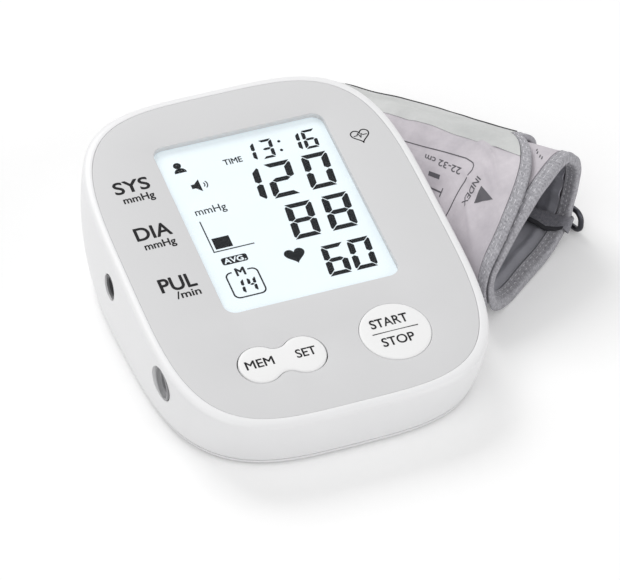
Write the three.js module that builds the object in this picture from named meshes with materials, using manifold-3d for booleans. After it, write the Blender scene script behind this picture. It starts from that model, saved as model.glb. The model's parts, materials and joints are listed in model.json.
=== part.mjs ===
// A desk blood pressure monitor with its rolled arm cuff lying beside it.
// Millimetres, +Z up, +X to the right, +Y to the back. The origin is on the case's flat underside.
import * as THREE from "three";
import { mergeVertices } from "three/addons/utils/BufferGeometryUtils.js";
import Module from "manifold-3d";

const wasm = await Module();
wasm.setup();

// Clearances and walls
const GAP = 0.3;
const KEY_GAP = 0.4;
const CASE_WALL = 2.2;
const OVERCUT = 2;

// The sloping face: its middle's height, its slope and the grey panel's outline
const FACE_TILT = THREE.MathUtils.degToRad(10);
const FACE_HEIGHT = 33.5;
const PANEL = { halfWidth: 53, halfLength: 69.8, exponent: 3.9, thickness: 2 };
const PLATE_THICKNESS = 1.6;

// The case: its rounded rim, its foot outline and how far its side wall bulges
const RIM = { out: 2.8, drop: 1.6 };
const FOOT = { halfWidth: 55.4, halfLength: 69.2, middleY: 2.6, exponent: 3.34 };
const FOOT_ROUND = 0.9;
const BULGE = { depth: 2.1, atHeight: 40 };
const PARTING_HEIGHT = 1.6;
const FLOOR_THICKNESS = 2.2;
const TONGUE = { height: 2.6, thickness: 1.3 };
const CASE_SIDES = 64;
const WALL_LEVELS = 5;
const LINING_LEVELS = 3;
const RIM_LEVELS = 3;
const RIM_FLAT = 0.2;

// The screen window in the face's own axes: u to the right, v up the slope
const SCREEN = { left: -27.8, right: 32.3, bottom: -23.6, top: 52, corner: 4 };
const LENS = { sink: 0.4, flange: 0.8, step: 0.8, ledge: 1.2 };
const GLASS = { margin: 3, thickness: 2.2, contactEdge: 1.9 };
const BACKLIGHT_WALL = 1.6;
const STRIP = { width: 2.2, inset: 5 };

// The keys
const START = { u: 21.2, v: -46.3, radius: 11.4 };
const ROCKER = { u: -17.35, v: -46.35, lobeReach: 7.35, lobeRadius: 7.2, waist: 4.7 };
const KEY_PROUD = 0.3;
const KEY_FLANGE = { width: 1.2, thickness: 1 };
const KEY_SKIN = 1.8;
const STEM_RADIUS = 2.4;
const AXLE = { radius: 1, reach: 8.6, lug: 1.7, lugHalfWidth: 2.6, below: 0.9 };
const DOME = { base: 4.5, top: 3.2, height: 2.6, skin: 0.6, flange: 1.2, flangeThickness: 0.7 };

// The circuit board, level with the face, and what it carries
const BOARD = { left: -34, right: 35, bottom: -57, top: 64, corner: 9, thickness: 1.6, depth: 9.5 };
const BOARD_SCREWS = [
  [-29.5, -33.2],
  [24, 61.2],
];
const BOARD_PEGS = [
  [31.5, -33.5],
  [-20, 61.2],
];
const BOARD_BOSS = 2.5;
const BOARD_SCREW = { shank: 1.1, head: 2.1, headHeight: 1.4, length: 6.2 };
const BUZZER = { u: 12, v: -22, radius: 6, height: 4, port: 1 };
const CHIP = { u: -6, v: -34, side: 10, height: 1.6 };
const SENSOR = { u: -24, v: -41, width: 9, depth: 8, height: 5, nipple: 4 };

// Screws that close the case, and the feet
const CASE_SCREW_ROWS = [
  { y: -50, fromWall: 4.59 },
  { y: 50.5, fromWall: 4.27 },
];
const CASE_BOSS = { radius: 3.5, split: 10, seat: 3.2 };
const CASE_SCREW = { shank: 1.4, head: 2.7, headHeight: 1.9, length: 13 };
const FOOT_ROWS = [
  { y: -34, fromSide: 10.34 },
  { y: 36, fromSide: 8.9 },
];
const FOOT_PAD = { radius: 5, proud: 1, sink: 0.9 };

// The battery bay and its four AA cells
const CELL = { radius: 7.25, body: 49.2, nub: 1.3, nubRadius: 2.7, pitch: 15, count: 4 };
const BAY = { fromPump: 1.55, fromOutline: 0.32, length: 59.2, roof: 17.2, wall: 1.4, side: 0.35 };
const CELL_SPRING = { radius: 3, wire: 0.4, turns: 3, length: 5.2, wireSides: 6, turnSteps: 8 };
const CONTACT = { thickness: 0.5, height: 11, overlap: 4.5 };
const DOOR = { thickness: 1.6, cellGap: 0.4, tabWidth: 4.6, tabReach: 1.3, tabHeight: 1, tabFrom: 2.5 };
const GRIP = { count: 5, pitch: 2.2, width: 1, length: 18, depth: 0.5, fromBack: 5 };

// The sockets in the left wall, each sunk a little behind the wall's outside
const AIR_SOCKET = {
  y: -35.5, z: 18.6, sink: 0.32, radius: 6, lip: 2, mouth: 4.9, mouthDepth: 1.2,
  barrel: 4.2, bore: 3.4, taperEnd: 3, depth: 9.5, length: 11.6,
};
const ELBOW_LENGTH = 4;
const DC_JACK = { y: 9.5, z: 24, sink: 0.38, radius: 4.5, bore: 3.2, pin: 0.9, depth: 9, length: 12 };
const JACK_BODY = { half: 4.6, behindFace: 2.8, pinFrom: 1.5 };
const POST = { halfWidth: 1.1, halfDepth: 2.5, jackFromWall: 9.5, socketFromWall: 6.3, manifoldY: -11 };

// The air pump along the right side, its axis along Y
const PUMP = { fromSide: 13.6, z: 12.4, radius: 9.5 };
const PUMP_VALVES = { front: 0, back: 5.6, nipple: 2.6 };
const PUMP_DIAPHRAGM = 0.8;
const CRANK_CASE = { length: 10, cavity: 6.6, wall: 1.6 };
const MOTOR = { length: 25, wall: 1.2, shaft: 1, bearing: 1.25, shaftProud: 1.5 };
const ARMATURE = { radius: 7.2, length: 15, inset: 3 };
const CRANK = { radius: 4.4, throw: 1.2, length: 4, clearance: 1 };
const SADDLE = { thickness: 3, lift: 6, inset: 1 };

// The release valve and the air lines
const VALVE = {
  fromManifold: 11.5, width: 20, y: -22.5, depth: 12, bottom: 2.6, height: 11.6, fence: 1.8,
};
const PLUNGER = { radius: 2, bore: 2.35, length: 13, proud: 2.6, travel: 0.8, headRadius: 3, head: 1 };
const MANIFOLD = {
  fromSide: 13.9, z: 8.4, front: -27, back: -6, radius: 3, pumpPort: 10.5, socketPort: 4.8,
};
const HOSE = { outer: 2.5, bore: 1.7, nipple: 1.35, cover: 2.3, straight: 6.4, drop: 8, sides: 5, step: 6.4 };

// The cuff: a flattened roll whose end, middle and far sections are closed curves. w runs across the
// roll from its floor corner, h is the height, and each section stands on its own line on the floor.
const CUFF_FLOOR = -0.45;
const CUFF_SECTIONS = [
  {
    corner: [FOOT.halfWidth + 13.3, -21.6],
    across: THREE.MathUtils.degToRad(37.3),
    outline: [
      [4, 0.3], [20, 0], [35, 1], [46, 6], [52, 16], [54.3, 26],
      [46.5, 37], [30, 37], [10, 29.5], [-6.5, 20], [-6, 6],
    ],
  },
  {
    corner: [FOOT.halfWidth + 5.1, 38.5],
    across: THREE.MathUtils.degToRad(42),
    outline: [
      [3, 0.2], [17.3, 2], [25.4, 0.1], [36.3, 3.4], [38.6, 10.9], [34.7, 16.7],
      [25, 23.5], [14.5, 27.5], [5, 24], [-0.5, 15], [-0.5, 5],
    ],
  },
  {
    corner: [FOOT.halfWidth - 13.4, 82],
    across: THREE.MathUtils.degToRad(46),
    outline: [
      [3, 0.2], [11, 0.7], [19.5, 0], [27, 2], [28.3, 6.1], [23.9, 11.4],
      [16.6, 15.2], [9.5, 18.5], [3, 16.5], [-0.5, 10.5], [-0.5, 4],
    ],
  },
];
const FABRIC = { skin: 0.9, bladder: 0.8, binding: 5, lip: 0.4 };
const CUFF_WIDTH = 116;
const CUFF_ROUND_STEPS = 36;
const CUFF_LENGTH_STEPS = 6;
const FLAP = {
  from: 13, to: 32, thickness: 1.8, crestSetBack: 21, footSetBack: 1.2, crestAt: 20, sweep: 4,
};
const BLADDER = { from: 14, to: 31, front: 16, back: 12 };
const HOOK_TAPE = { from: 6, to: 11, thickness: 1, gap: 0.6, front: 10, back: 70 };
const RING = {
  wire: 1, height: 9.6, length: 64, proud: 2.2, acrossNear: 52.4, acrossMiddle: 44.2, corner: 3,
};
const RING_LOOP = { skin: 1, from: 9, to: 55 };
const HOSE_PORT = { from: 10, to: 12, front: 88, back: 100, thickness: 1.2, stubFront: 90, length: 9 };

const SMALL_SIDES = 12;
const ROUND_SIDES = 24;
const KEY_SIDES = 40;

const COLOURS = {
  white: new THREE.MeshStandardMaterial({ color: 0xf1f1f1, roughness: 0.35 }),
  grey: new THREE.MeshStandardMaterial({ color: 0xd9d9d9, roughness: 0.5 }),
  key: new THREE.MeshStandardMaterial({ color: 0xf0f0f0, roughness: 0.45 }),
  clear: new THREE.MeshStandardMaterial({
    color: 0xeef6ff, roughness: 0.1, opacity: 0.3, transparent: true,
  }),
  screen: new THREE.MeshStandardMaterial({ color: 0xf0faff, roughness: 0.3 }),
  frame: new THREE.MeshStandardMaterial({ color: 0xe8e8e6, roughness: 0.6 }),
  rubber: new THREE.MeshStandardMaterial({ color: 0x9a9a9c, roughness: 0.9 }),
  dark: new THREE.MeshStandardMaterial({ color: 0x2b2b2e, roughness: 0.7 }),
  board: new THREE.MeshStandardMaterial({ color: 0x1f6b3a, roughness: 0.6 }),
  steel: new THREE.MeshStandardMaterial({ color: 0xb8b8bc, roughness: 0.3, metalness: 1 }),
  gunmetal: new THREE.MeshStandardMaterial({ color: 0x55555a, roughness: 0.35, metalness: 1 }),
  socket: new THREE.MeshStandardMaterial({ color: 0xa0a0a2, roughness: 0.5 }),
  cell: new THREE.MeshStandardMaterial({ color: 0x3f5f8f, roughness: 0.4, metalness: 0.4 }),
  cloth: new THREE.MeshStandardMaterial({ color: 0xc9c7cc, roughness: 0.95 }),
  lining: new THREE.MeshStandardMaterial({ color: 0x85848a, roughness: 0.95 }),
  tape: new THREE.MeshStandardMaterial({ color: 0x9d9ca2, roughness: 0.9 }),
  hook: new THREE.MeshStandardMaterial({ color: 0x56555c, roughness: 0.95 }),
};

// Turns a closed geometry into a solid that can be cut and joined, with its faces pointing out.
function solidFrom(geometry) {
  const bare = geometry.index ? geometry.toNonIndexed() : geometry.clone();
  const only = new THREE.BufferGeometry().setAttribute("position", bare.getAttribute("position"));
  const merged = mergeVertices(only, 1e-4);
  const vertProperties = merged.attributes.position.array;
  const triVerts = new Uint32Array(merged.index.array);
  const made = new wasm.Manifold(new wasm.Mesh({ numProp: 3, vertProperties, triVerts }));
  if (made.volume() >= 0) return made;
  const turned = triVerts.map((_, i) => triVerts[i - (i % 3) + [0, 2, 1][i % 3]]);
  return new wasm.Manifold(new wasm.Mesh({ numProp: 3, vertProperties, triVerts: turned }));
}

function geometryFrom(solid) {
  const mesh = solid.getMesh();
  return new THREE.BufferGeometry()
    .setAttribute("position", new THREE.BufferAttribute(mesh.vertProperties, 3))
    .setIndex(new THREE.BufferAttribute(mesh.triVerts, 1));
}

function piece(name, solid, material) {
  const geometry = geometryFrom(solid);
  geometry.computeVertexNormals();
  const mesh = new THREE.Mesh(geometry, material);
  mesh.name = name;
  return mesh;
}

const joined = (solids) => solids.reduce((all, next) => all.add(next));
const cut = (solid, tools) => tools.reduce((left, tool) => left.subtract(tool), solid);

// A flat outline raised from one level to another.
function slab(shape, bottom, top, curveSegments = 5) {
  const settings = { depth: top - bottom, bevelEnabled: false, curveSegments };
  return solidFrom(new THREE.ExtrudeGeometry(shape, settings).translate(0, 0, bottom));
}

function block(left, right, front, back, bottom, top) {
  const box = new THREE.BoxGeometry(right - left, back - front, top - bottom);
  return solidFrom(box.translate((left + right) / 2, (front + back) / 2, (bottom + top) / 2));
}

// A profile of [radius, height] points, turned about +Z and then laid along another axis and moved.
function turned(profile, sides, place = [0, 0, 0], along = "z") {
  const points = profile.map(([r, z]) => new THREE.Vector2(r, z));
  const closed = profile[0][0] > 0 ? [...points, points[0]] : points;
  const geometry = new THREE.LatheGeometry(closed, sides);
  if (along === "z") geometry.rotateX(Math.PI / 2);
  if (along === "x") geometry.rotateZ(-Math.PI / 2);
  return solidFrom(geometry.translate(...place));
}

const rod = (radius, from, to, sides, place, along) =>
  turned([[0, from], [radius, from], [radius, to], [0, to]], sides, place, along);

const ring = (inner, outer, from, to, sides, place, along) =>
  turned([[inner, from], [outer, from], [outer, to], [inner, to]], sides, place, along);

function roundedBox(left, right, bottom, top, corner) {
  const shape = new THREE.Shape();
  shape.absarc(right - corner, top - corner, corner, 0, Math.PI / 2);
  shape.absarc(left + corner, top - corner, corner, Math.PI / 2, Math.PI);
  shape.absarc(left + corner, bottom + corner, corner, Math.PI, Math.PI * 1.5);
  shape.absarc(right - corner, bottom + corner, corner, Math.PI * 1.5, Math.PI * 2);
  return shape;
}

function disc(x, y, radius, sides) {
  const corners = Array.from({ length: sides }, (_, i) => {
    const angle = (i / sides) * Math.PI * 2;
    return new THREE.Vector2(x + radius * Math.cos(angle), y + radius * Math.sin(angle));
  });
  return new THREE.Shape(corners);
}

// The round hole that the start button stands in.
const startOutline = () => disc(START.u, START.v, START.radius + KEY_GAP, KEY_SIDES);

// Two round lobes joined by a waist, grown by a margin.
function rockerOutline(margin) {
  const lobe = ROCKER.lobeRadius + margin;
  const waist = ROCKER.waist + margin;
  const reach = ROCKER.lobeReach;
  const hollow = (reach ** 2 + waist ** 2 - lobe ** 2) / (2 * (lobe - waist));
  const hollowMiddle = waist + hollow;
  const meet = Math.atan2(hollowMiddle, reach);
  const shape = new THREE.Shape();
  shape.absarc(ROCKER.u + reach, ROCKER.v, lobe, meet - Math.PI, Math.PI - meet);
  shape.absarc(ROCKER.u, ROCKER.v + hollowMiddle, hollow, -meet, meet - Math.PI, true);
  shape.absarc(ROCKER.u - reach, ROCKER.v, lobe, meet, -meet);
  shape.absarc(ROCKER.u, ROCKER.v - hollowMiddle, hollow, Math.PI - meet, meet, true);
  return shape;
}

// A point on a superellipse, an oval that is nearly a rounded rectangle.
function superellipse(halfWidth, halfLength, exponent, angle) {
  const c = Math.cos(angle);
  const s = Math.sin(angle);
  const x = halfWidth * Math.sign(c) * Math.abs(c) ** (2 / exponent);
  return [x, halfLength * Math.sign(s) * Math.abs(s) ** (2 / exponent)];
}

// Half the case's width at a place along it: at its foot, at its rim and on the wall between them.
function halfWidthAt(y, halfWidth, halfLength, exponent) {
  const share = Math.min(1, Math.abs(y) / halfLength);
  return halfWidth * (1 - share ** exponent) ** (1 / exponent);
}

const footSide = (y, inset) =>
  halfWidthAt(y - FOOT.middleY, FOOT.halfWidth - inset, FOOT.halfLength - inset, FOOT.exponent);

const rimSide = (y, inset) => {
  const { halfWidth, halfLength, exponent } = PANEL;
  const spread = RIM.out - inset;
  return halfWidthAt(y / Math.cos(FACE_TILT), halfWidth + spread, halfLength + spread, exponent);
};

function wallSide(y, z) {
  const low = PARTING_HEIGHT + GAP;
  const high = FACE_HEIGHT + y * Math.tan(FACE_TILT) - RIM.drop;
  const share = (z - low) / (high - low);
  const swell = BULGE.depth * ((high - low) / BULGE.atHeight) ** 2 * 4 * share * (1 - share);
  return THREE.MathUtils.lerp(footSide(y, 0), rimSide(y, 0), share) + swell;
}

// Where the pieces stand that keep to the side walls
const pumpX = FOOT.halfWidth - PUMP.fromSide;
const manifoldX = MANIFOLD.fromSide - FOOT.halfWidth;
const valveLeft = manifoldX + VALVE.fromManifold;
const valveRight = valveLeft + VALVE.width;
const airFace = AIR_SOCKET.sink - wallSide(AIR_SOCKET.y, AIR_SOCKET.z);
const jackFace = DC_JACK.sink - wallSide(DC_JACK.y, DC_JACK.z);
const caseScrews = CASE_SCREW_ROWS.flatMap(({ y, fromWall }) => {
  const x = Math.min(footSide(y, CASE_WALL), rimSide(y, CASE_WALL)) - fromWall;
  return [[-x, y], [x, y]];
});
const feet = FOOT_ROWS.flatMap(({ y, fromSide }) => {
  const x = footSide(y, 0) - fromSide;
  return [[-x, y], [x, y]];
});

const sideAngles = Array.from({ length: CASE_SIDES }, (_, i) => (i / CASE_SIDES) * Math.PI * 2);

function panelOutline(margin) {
  const { halfWidth, halfLength, exponent } = PANEL;
  const point = (angle) => superellipse(halfWidth + margin, halfLength + margin, exponent, angle);
  return new THREE.Shape(sideAngles.map((angle) => new THREE.Vector2(...point(angle))));
}

function fromFace(u, v, w) {
  const sin = Math.sin(FACE_TILT);
  const cos = Math.cos(FACE_TILT);
  return new THREE.Vector3(u, v * cos - w * sin, FACE_HEIGHT + v * sin + w * cos);
}

// A ring of the case level with the face, spread beyond the panel and sunk below it.
function faceRing(spread, depth) {
  const { halfWidth, halfLength, exponent } = PANEL;
  return sideAngles.map((angle) => {
    const [u, v] = superellipse(halfWidth + spread, halfLength + spread, exponent, angle);
    return fromFace(u, v, -depth);
  });
}

// A level ring of the case's foot.
function footRing(inset, height) {
  return sideAngles.map((angle) => {
    const [x, y] = superellipse(FOOT.halfWidth - inset, FOOT.halfLength - inset, FOOT.exponent, angle);
    return new THREE.Vector3(x, y + FOOT.middleY, height);
  });
}

// Rings up the side wall, which bulges most where it is tallest.
function wallRings(inset, bottomHeight, shoulderDepth, levels) {
  const bottom = footRing(inset, bottomHeight);
  const shoulder = faceRing(RIM.out - inset, shoulderDepth);
  return Array.from({ length: levels + 1 }, (_, level) => {
    const share = level / levels;
    return bottom.map((low, i) => {
      const high = shoulder[i];
      const outward = new THREE.Vector3(low.x / FOOT.halfWidth ** 2, low.y / FOOT.halfLength ** 2, 0);
      const swell = BULGE.depth * ((high.z - low.z) / BULGE.atHeight) ** 2 * 4 * share * (1 - share);
      return low.clone().lerp(high, share).addScaledVector(outward.normalize(), swell);
    });
  });
}

// A closed skin over a stack of rings, with a fan over each end.
function loft(rings) {
  const count = rings[0].length;
  const middle = (points) =>
    points.reduce((sum, p) => sum.add(p), new THREE.Vector3()).divideScalar(count);
  const corners = [...rings.flat(), middle(rings[0]), middle(rings.at(-1))];
  const index = [];
  for (let level = 0; level < rings.length - 1; level += 1) {
    for (let i = 0; i < count; i += 1) {
      const next = (i + 1) % count;
      const [a, b] = [level * count + i, level * count + next];
      index.push(a, b, b + count, a, b + count, a + count);
    }
  }
  const last = (rings.length - 1) * count;
  const [lowMiddle, highMiddle] = [corners.length - 2, corners.length - 1];
  for (let i = 0; i < count; i += 1) {
    const next = (i + 1) % count;
    index.push(lowMiddle, next, i, highMiddle, last + i, last + next);
  }
  const geometry = new THREE.BufferGeometry().setFromPoints(corners).setIndex(index);
  return solidFrom(geometry);
}

// A skin with thickness over a grid of points: pointAt(u, v, side) gives its inner and outer faces.
function thickSkin(pointAt, uSteps, vSteps, closed) {
  const points = [];
  const index = [];
  const columns = closed ? uSteps : uSteps + 1;
  for (const side of [0, 1]) {
    for (let j = 0; j <= vSteps; j += 1) {
      for (let i = 0; i < columns; i += 1) points.push(pointAt(i / uSteps, j / vSteps, side));
    }
  }
  const at = (i, j, side) => side * columns * (vSteps + 1) + j * columns + (i % columns);
  const quad = (a, b, c, d) => index.push(a, b, c, a, c, d);
  for (let i = 0; i < uSteps; i += 1) {
    for (let j = 0; j < vSteps; j += 1) {
      quad(at(i, j, 1), at(i + 1, j, 1), at(i + 1, j + 1, 1), at(i, j + 1, 1));
      quad(at(i, j, 0), at(i, j + 1, 0), at(i + 1, j + 1, 0), at(i + 1, j, 0));
    }
    quad(at(i, 0, 0), at(i + 1, 0, 0), at(i + 1, 0, 1), at(i, 0, 1));
    quad(at(i, vSteps, 0), at(i, vSteps, 1), at(i + 1, vSteps, 1), at(i + 1, vSteps, 0));
  }
  for (let j = 0; !closed && j < vSteps; j += 1) {
    quad(at(0, j, 0), at(0, j, 1), at(0, j + 1, 1), at(0, j + 1, 0));
    quad(at(uSteps, j, 0), at(uSteps, j + 1, 0), at(uSteps, j + 1, 1), at(uSteps, j, 1));
  }
  return solidFrom(new THREE.BufferGeometry().setFromPoints(points).setIndex(index));
}

// Levels below the face plane, worked out from the stack of pieces under it
const plateTop = -(PANEL.thickness + GAP);
const plateBottom = plateTop - PLATE_THICKNESS;
const plateMiddle = (plateTop + plateBottom) / 2;
const boardTop = -BOARD.depth;
const boardBottom = boardTop - BOARD.thickness;
const domeBottom = boardTop + GAP;
const domeTop = domeBottom + DOME.height;
const stemBottom = domeTop + GAP;
const glassTop = -(PANEL.thickness + GAP);
const glassBottom = glassTop - GLASS.thickness;
const glassEdges = {
  left: SCREEN.left - GLASS.margin,
  right: SCREEN.right + GLASS.margin,
  bottom: SCREEN.bottom - GLASS.margin - GLASS.contactEdge,
  top: SCREEN.top + GLASS.margin,
};
const axleDepth = plateBottom - AXLE.radius - GAP;

// How far in the case wall's inner face reaches at the level of the plate
const innerSpread = RIM.out - CASE_WALL;

function glassOutline(margin) {
  const { left, right, bottom, top } = glassEdges;
  return roundedBox(left - margin, right + margin, bottom - margin, top + margin, 1);
}

function screenOutline(margin) {
  const { left, right, bottom, top, corner } = SCREEN;
  return roundedBox(left - margin, right + margin, bottom - margin, top + margin, corner + margin);
}

// The slope's own matrix, for cutting pieces that stand in the case's axes.
const faceMatrix = new THREE.Matrix4()
  .makeRotationX(FACE_TILT)
  .setPosition(0, 0, FACE_HEIGHT);
const onFace = (solid) => solidFrom(geometryFrom(solid).applyMatrix4(faceMatrix));

function topCover() {
  const rim = Array.from({ length: RIM_LEVELS + 1 }, (_, i) => {
    const turn = (Math.PI / 2) * (1 - i / RIM_LEVELS);
    const spread = RIM_FLAT + (RIM.out - RIM_FLAT) * Math.sin(turn);
    return faceRing(spread, RIM.drop * (1 - Math.cos(turn)));
  });
  const wall = wallRings(0, PARTING_HEIGHT + GAP, RIM.drop, WALL_LEVELS);
  const outside = loft([...wall, ...rim.slice(1)]);
  const lining = wallRings(CASE_WALL, PARTING_HEIGHT, -plateBottom, LINING_LEVELS);
  const inside = loft([footRing(CASE_WALL, -OVERCUT), ...lining]);
  const recess = slab(panelOutline(0), plateTop, OVERCUT);
  const windowHole = slab(glassOutline(GAP), plateBottom - OVERCUT, OVERCUT);
  const startHole = slab(startOutline(), plateBottom - OVERCUT, OVERCUT);
  const rockerHole = slab(rockerOutline(KEY_GAP), plateBottom - OVERCUT, OVERCUT);
  const boardBosses = BOARD_SCREWS.map(([u, v]) =>
    ring(BOARD_SCREW.shank + GAP, BOARD_BOSS, boardTop + GAP, plateBottom + GAP, SMALL_SIDES, [u, v, 0]),
  );
  const boardPegs = BOARD_PEGS.map(([u, v]) =>
    rod(BOARD_BOSS, boardTop + GAP, plateBottom + GAP, SMALL_SIDES, [u, v, 0])
      .add(rod(BOARD_SCREW.shank, boardBottom, boardTop + OVERCUT, SMALL_SIDES, [u, v, 0])),
  );
  const lugs = [-1, 1].map((side) => {
    const middle = ROCKER.v + side * (AXLE.reach - AXLE.lug / 2);
    const [front, back] = [middle - AXLE.lug / 2, middle + AXLE.lug / 2];
    const bottom = axleDepth - AXLE.radius - AXLE.below;
    const [left, right] = [ROCKER.u - AXLE.lugHalfWidth, ROCKER.u + AXLE.lugHalfWidth];
    const lug = block(left, right, front, back, bottom, plateBottom + GAP);
    const hole = [ROCKER.u, middle, axleDepth];
    return lug.subtract(rod(AXLE.radius + GAP, -AXLE.lug, AXLE.lug, SMALL_SIDES, hole, "y"));
  });
  const caseBosses = caseScrews.map(([x, y]) => {
    const top = FACE_HEIGHT + y * Math.tan(FACE_TILT) + plateMiddle / Math.cos(FACE_TILT);
    const column = rod(CASE_BOSS.radius, CASE_BOSS.split + GAP, top, ROUND_SIDES / 2, [x, y, 0]);
    const end = CASE_BOSS.seat + CASE_SCREW.length + GAP;
    return column.subtract(rod(CASE_SCREW.shank + GAP, 0, end, SMALL_SIDES, [x, y, 0]));
  });
  const { y, z } = AIR_SOCKET;
  const airMouth = rod(AIR_SOCKET.radius, -OVERCUT, AIR_SOCKET.lip + GAP, ROUND_SIDES,
    [airFace, y, z], "x");
  const airBarrel = rod(AIR_SOCKET.barrel + GAP, 0, AIR_SOCKET.length, ROUND_SIDES, [airFace, y, z], "x");
  const jackHole = rod(DC_JACK.radius, -OVERCUT, DC_JACK.depth, ROUND_SIDES,
    [jackFace, DC_JACK.y, DC_JACK.z], "x");
  const shell = cut(outside, [inside, ...[recess, windowHole, startHole, rockerHole].map(onFace)]);
  const hung = [...boardBosses, ...boardPegs, ...lugs].map(onFace);
  const solid = joined([cut(shell, [airMouth, airBarrel, jackHole]), ...hung, ...caseBosses]);
  return piece("top_cover", solid, COLOURS.white);
}

function facePanel() {
  const plate = slab(panelOutline(-GAP), -PANEL.thickness, 0);
  const window = slab(screenOutline(0), -PANEL.thickness - OVERCUT, OVERCUT);
  const rebateTop = -(LENS.sink + LENS.step) + GAP;
  const rebate = slab(screenOutline(LENS.ledge + GAP), -PANEL.thickness - OVERCUT, rebateTop);
  const start = slab(startOutline(), -PANEL.thickness - OVERCUT, OVERCUT);
  const rocker = slab(rockerOutline(KEY_GAP), -PANEL.thickness - OVERCUT, OVERCUT);
  return piece("face_panel", cut(plate, [window, rebate, start, rocker]), COLOURS.grey);
}

function screenLens() {
  const stepBottom = -(LENS.sink + LENS.step);
  const raised = slab(screenOutline(-GAP), stepBottom - LENS.flange / 2, -LENS.sink);
  const flange = slab(screenOutline(LENS.ledge), stepBottom - LENS.flange, stepBottom);
  return piece("screen_lens", raised.add(flange), COLOURS.clear);
}

function screenPieces() {
  const { left, right, bottom, top } = glassEdges;
  const glass = slab(glassOutline(0), glassBottom, glassTop);
  const tray = slab(glassOutline(GAP + BACKLIGHT_WALL), boardTop + GAP, plateBottom - GAP);
  const glassRoom = slab(glassOutline(GAP), glassBottom - GAP, OVERCUT);
  const [first, last] = [left + STRIP.inset, right - STRIP.inset];
  const stripRoom = block(first - GAP, last + GAP, bottom - GAP, bottom + STRIP.width + GAP,
    boardTop - OVERCUT, OVERCUT);
  const strip = block(first, last, bottom, bottom + STRIP.width, boardTop + GAP, glassBottom - GAP);
  return [
    piece("lcd_glass", glass, COLOURS.screen),
    piece("lcd_backlight", cut(tray, [glassRoom, stripRoom]), COLOURS.frame),
    piece("lcd_contact_strip", strip, COLOURS.rubber),
  ];
}

function startButton() {
  const edge = START.radius;
  const flangeTop = plateBottom - GAP;
  const flangeBottom = flangeTop - KEY_FLANGE.thickness;
  const roof = KEY_PROUD - KEY_SKIN;
  const profile = [
    [0, KEY_PROUD + 0.2],
    [edge * 0.6, KEY_PROUD + 0.1],
    [edge - 0.7, KEY_PROUD - 0.05],
    [edge, KEY_PROUD - 0.6],
    [edge, flangeTop],
    [edge + KEY_FLANGE.width, flangeTop],
    [edge + KEY_FLANGE.width, flangeBottom],
    [edge - KEY_SKIN, flangeBottom],
    [edge - KEY_SKIN, roof],
    [STEM_RADIUS, roof],
    [STEM_RADIUS, stemBottom],
    [0, stemBottom],
  ];
  const cap = turned(profile, KEY_SIDES, [START.u, START.v, 0]);
  return piece("start_stop_button", cap, COLOURS.key);
}

function rockerKey() {
  const skirtBottom = plateBottom + GAP;
  const roof = KEY_PROUD - KEY_SKIN;
  const body = slab(rockerOutline(0), skirtBottom, KEY_PROUD);
  const hollow = slab(rockerOutline(-KEY_SKIN), skirtBottom - OVERCUT, roof);
  const stems = [-1, 1].map((side) => {
    const place = [ROCKER.u + side * ROCKER.lobeReach, ROCKER.v, 0];
    return rod(STEM_RADIUS, stemBottom, roof + GAP, SMALL_SIDES, place);
  });
  const axle = rod(AXLE.radius, -AXLE.reach, AXLE.reach, SMALL_SIDES, [ROCKER.u, ROCKER.v, axleDepth], "y");
  const web = block(ROCKER.u - AXLE.radius, ROCKER.u + AXLE.radius, ROCKER.v - ROCKER.waist + 1,
    ROCKER.v + ROCKER.waist - 1, axleDepth, roof + GAP);
  return piece("memory_set_key", joined([body.subtract(hollow), ...stems, web, axle]), COLOURS.key);
}

function keyDomes() {
  const foot = DOME.base + DOME.flange;
  const profile = [
    [0, domeTop],
    [DOME.top, domeTop],
    [DOME.base, domeBottom + DOME.flangeThickness],
    [foot, domeBottom + DOME.flangeThickness],
    [foot, domeBottom],
    [DOME.base - DOME.skin, domeBottom],
    [DOME.top - DOME.skin, domeTop - DOME.skin],
    [0, domeTop - DOME.skin],
  ];
  const places = {
    start_dome: [START.u, START.v],
    memory_dome: [ROCKER.u - ROCKER.lobeReach, ROCKER.v],
    set_dome: [ROCKER.u + ROCKER.lobeReach, ROCKER.v],
  };
  return Object.entries(places).map(([name, [u, v]]) =>
    piece(name, turned(profile, SMALL_SIDES, [u, v, 0]), COLOURS.rubber),
  );
}

function screwSolid(screw, seat, place) {
  const profile = [
    [0, seat - screw.headHeight],
    [screw.head, seat - screw.headHeight],
    [screw.head, seat],
    [screw.shank, seat],
    [screw.shank, seat + screw.length],
    [0, seat + screw.length],
  ];
  return turned(profile, SMALL_SIDES, place);
}

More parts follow.
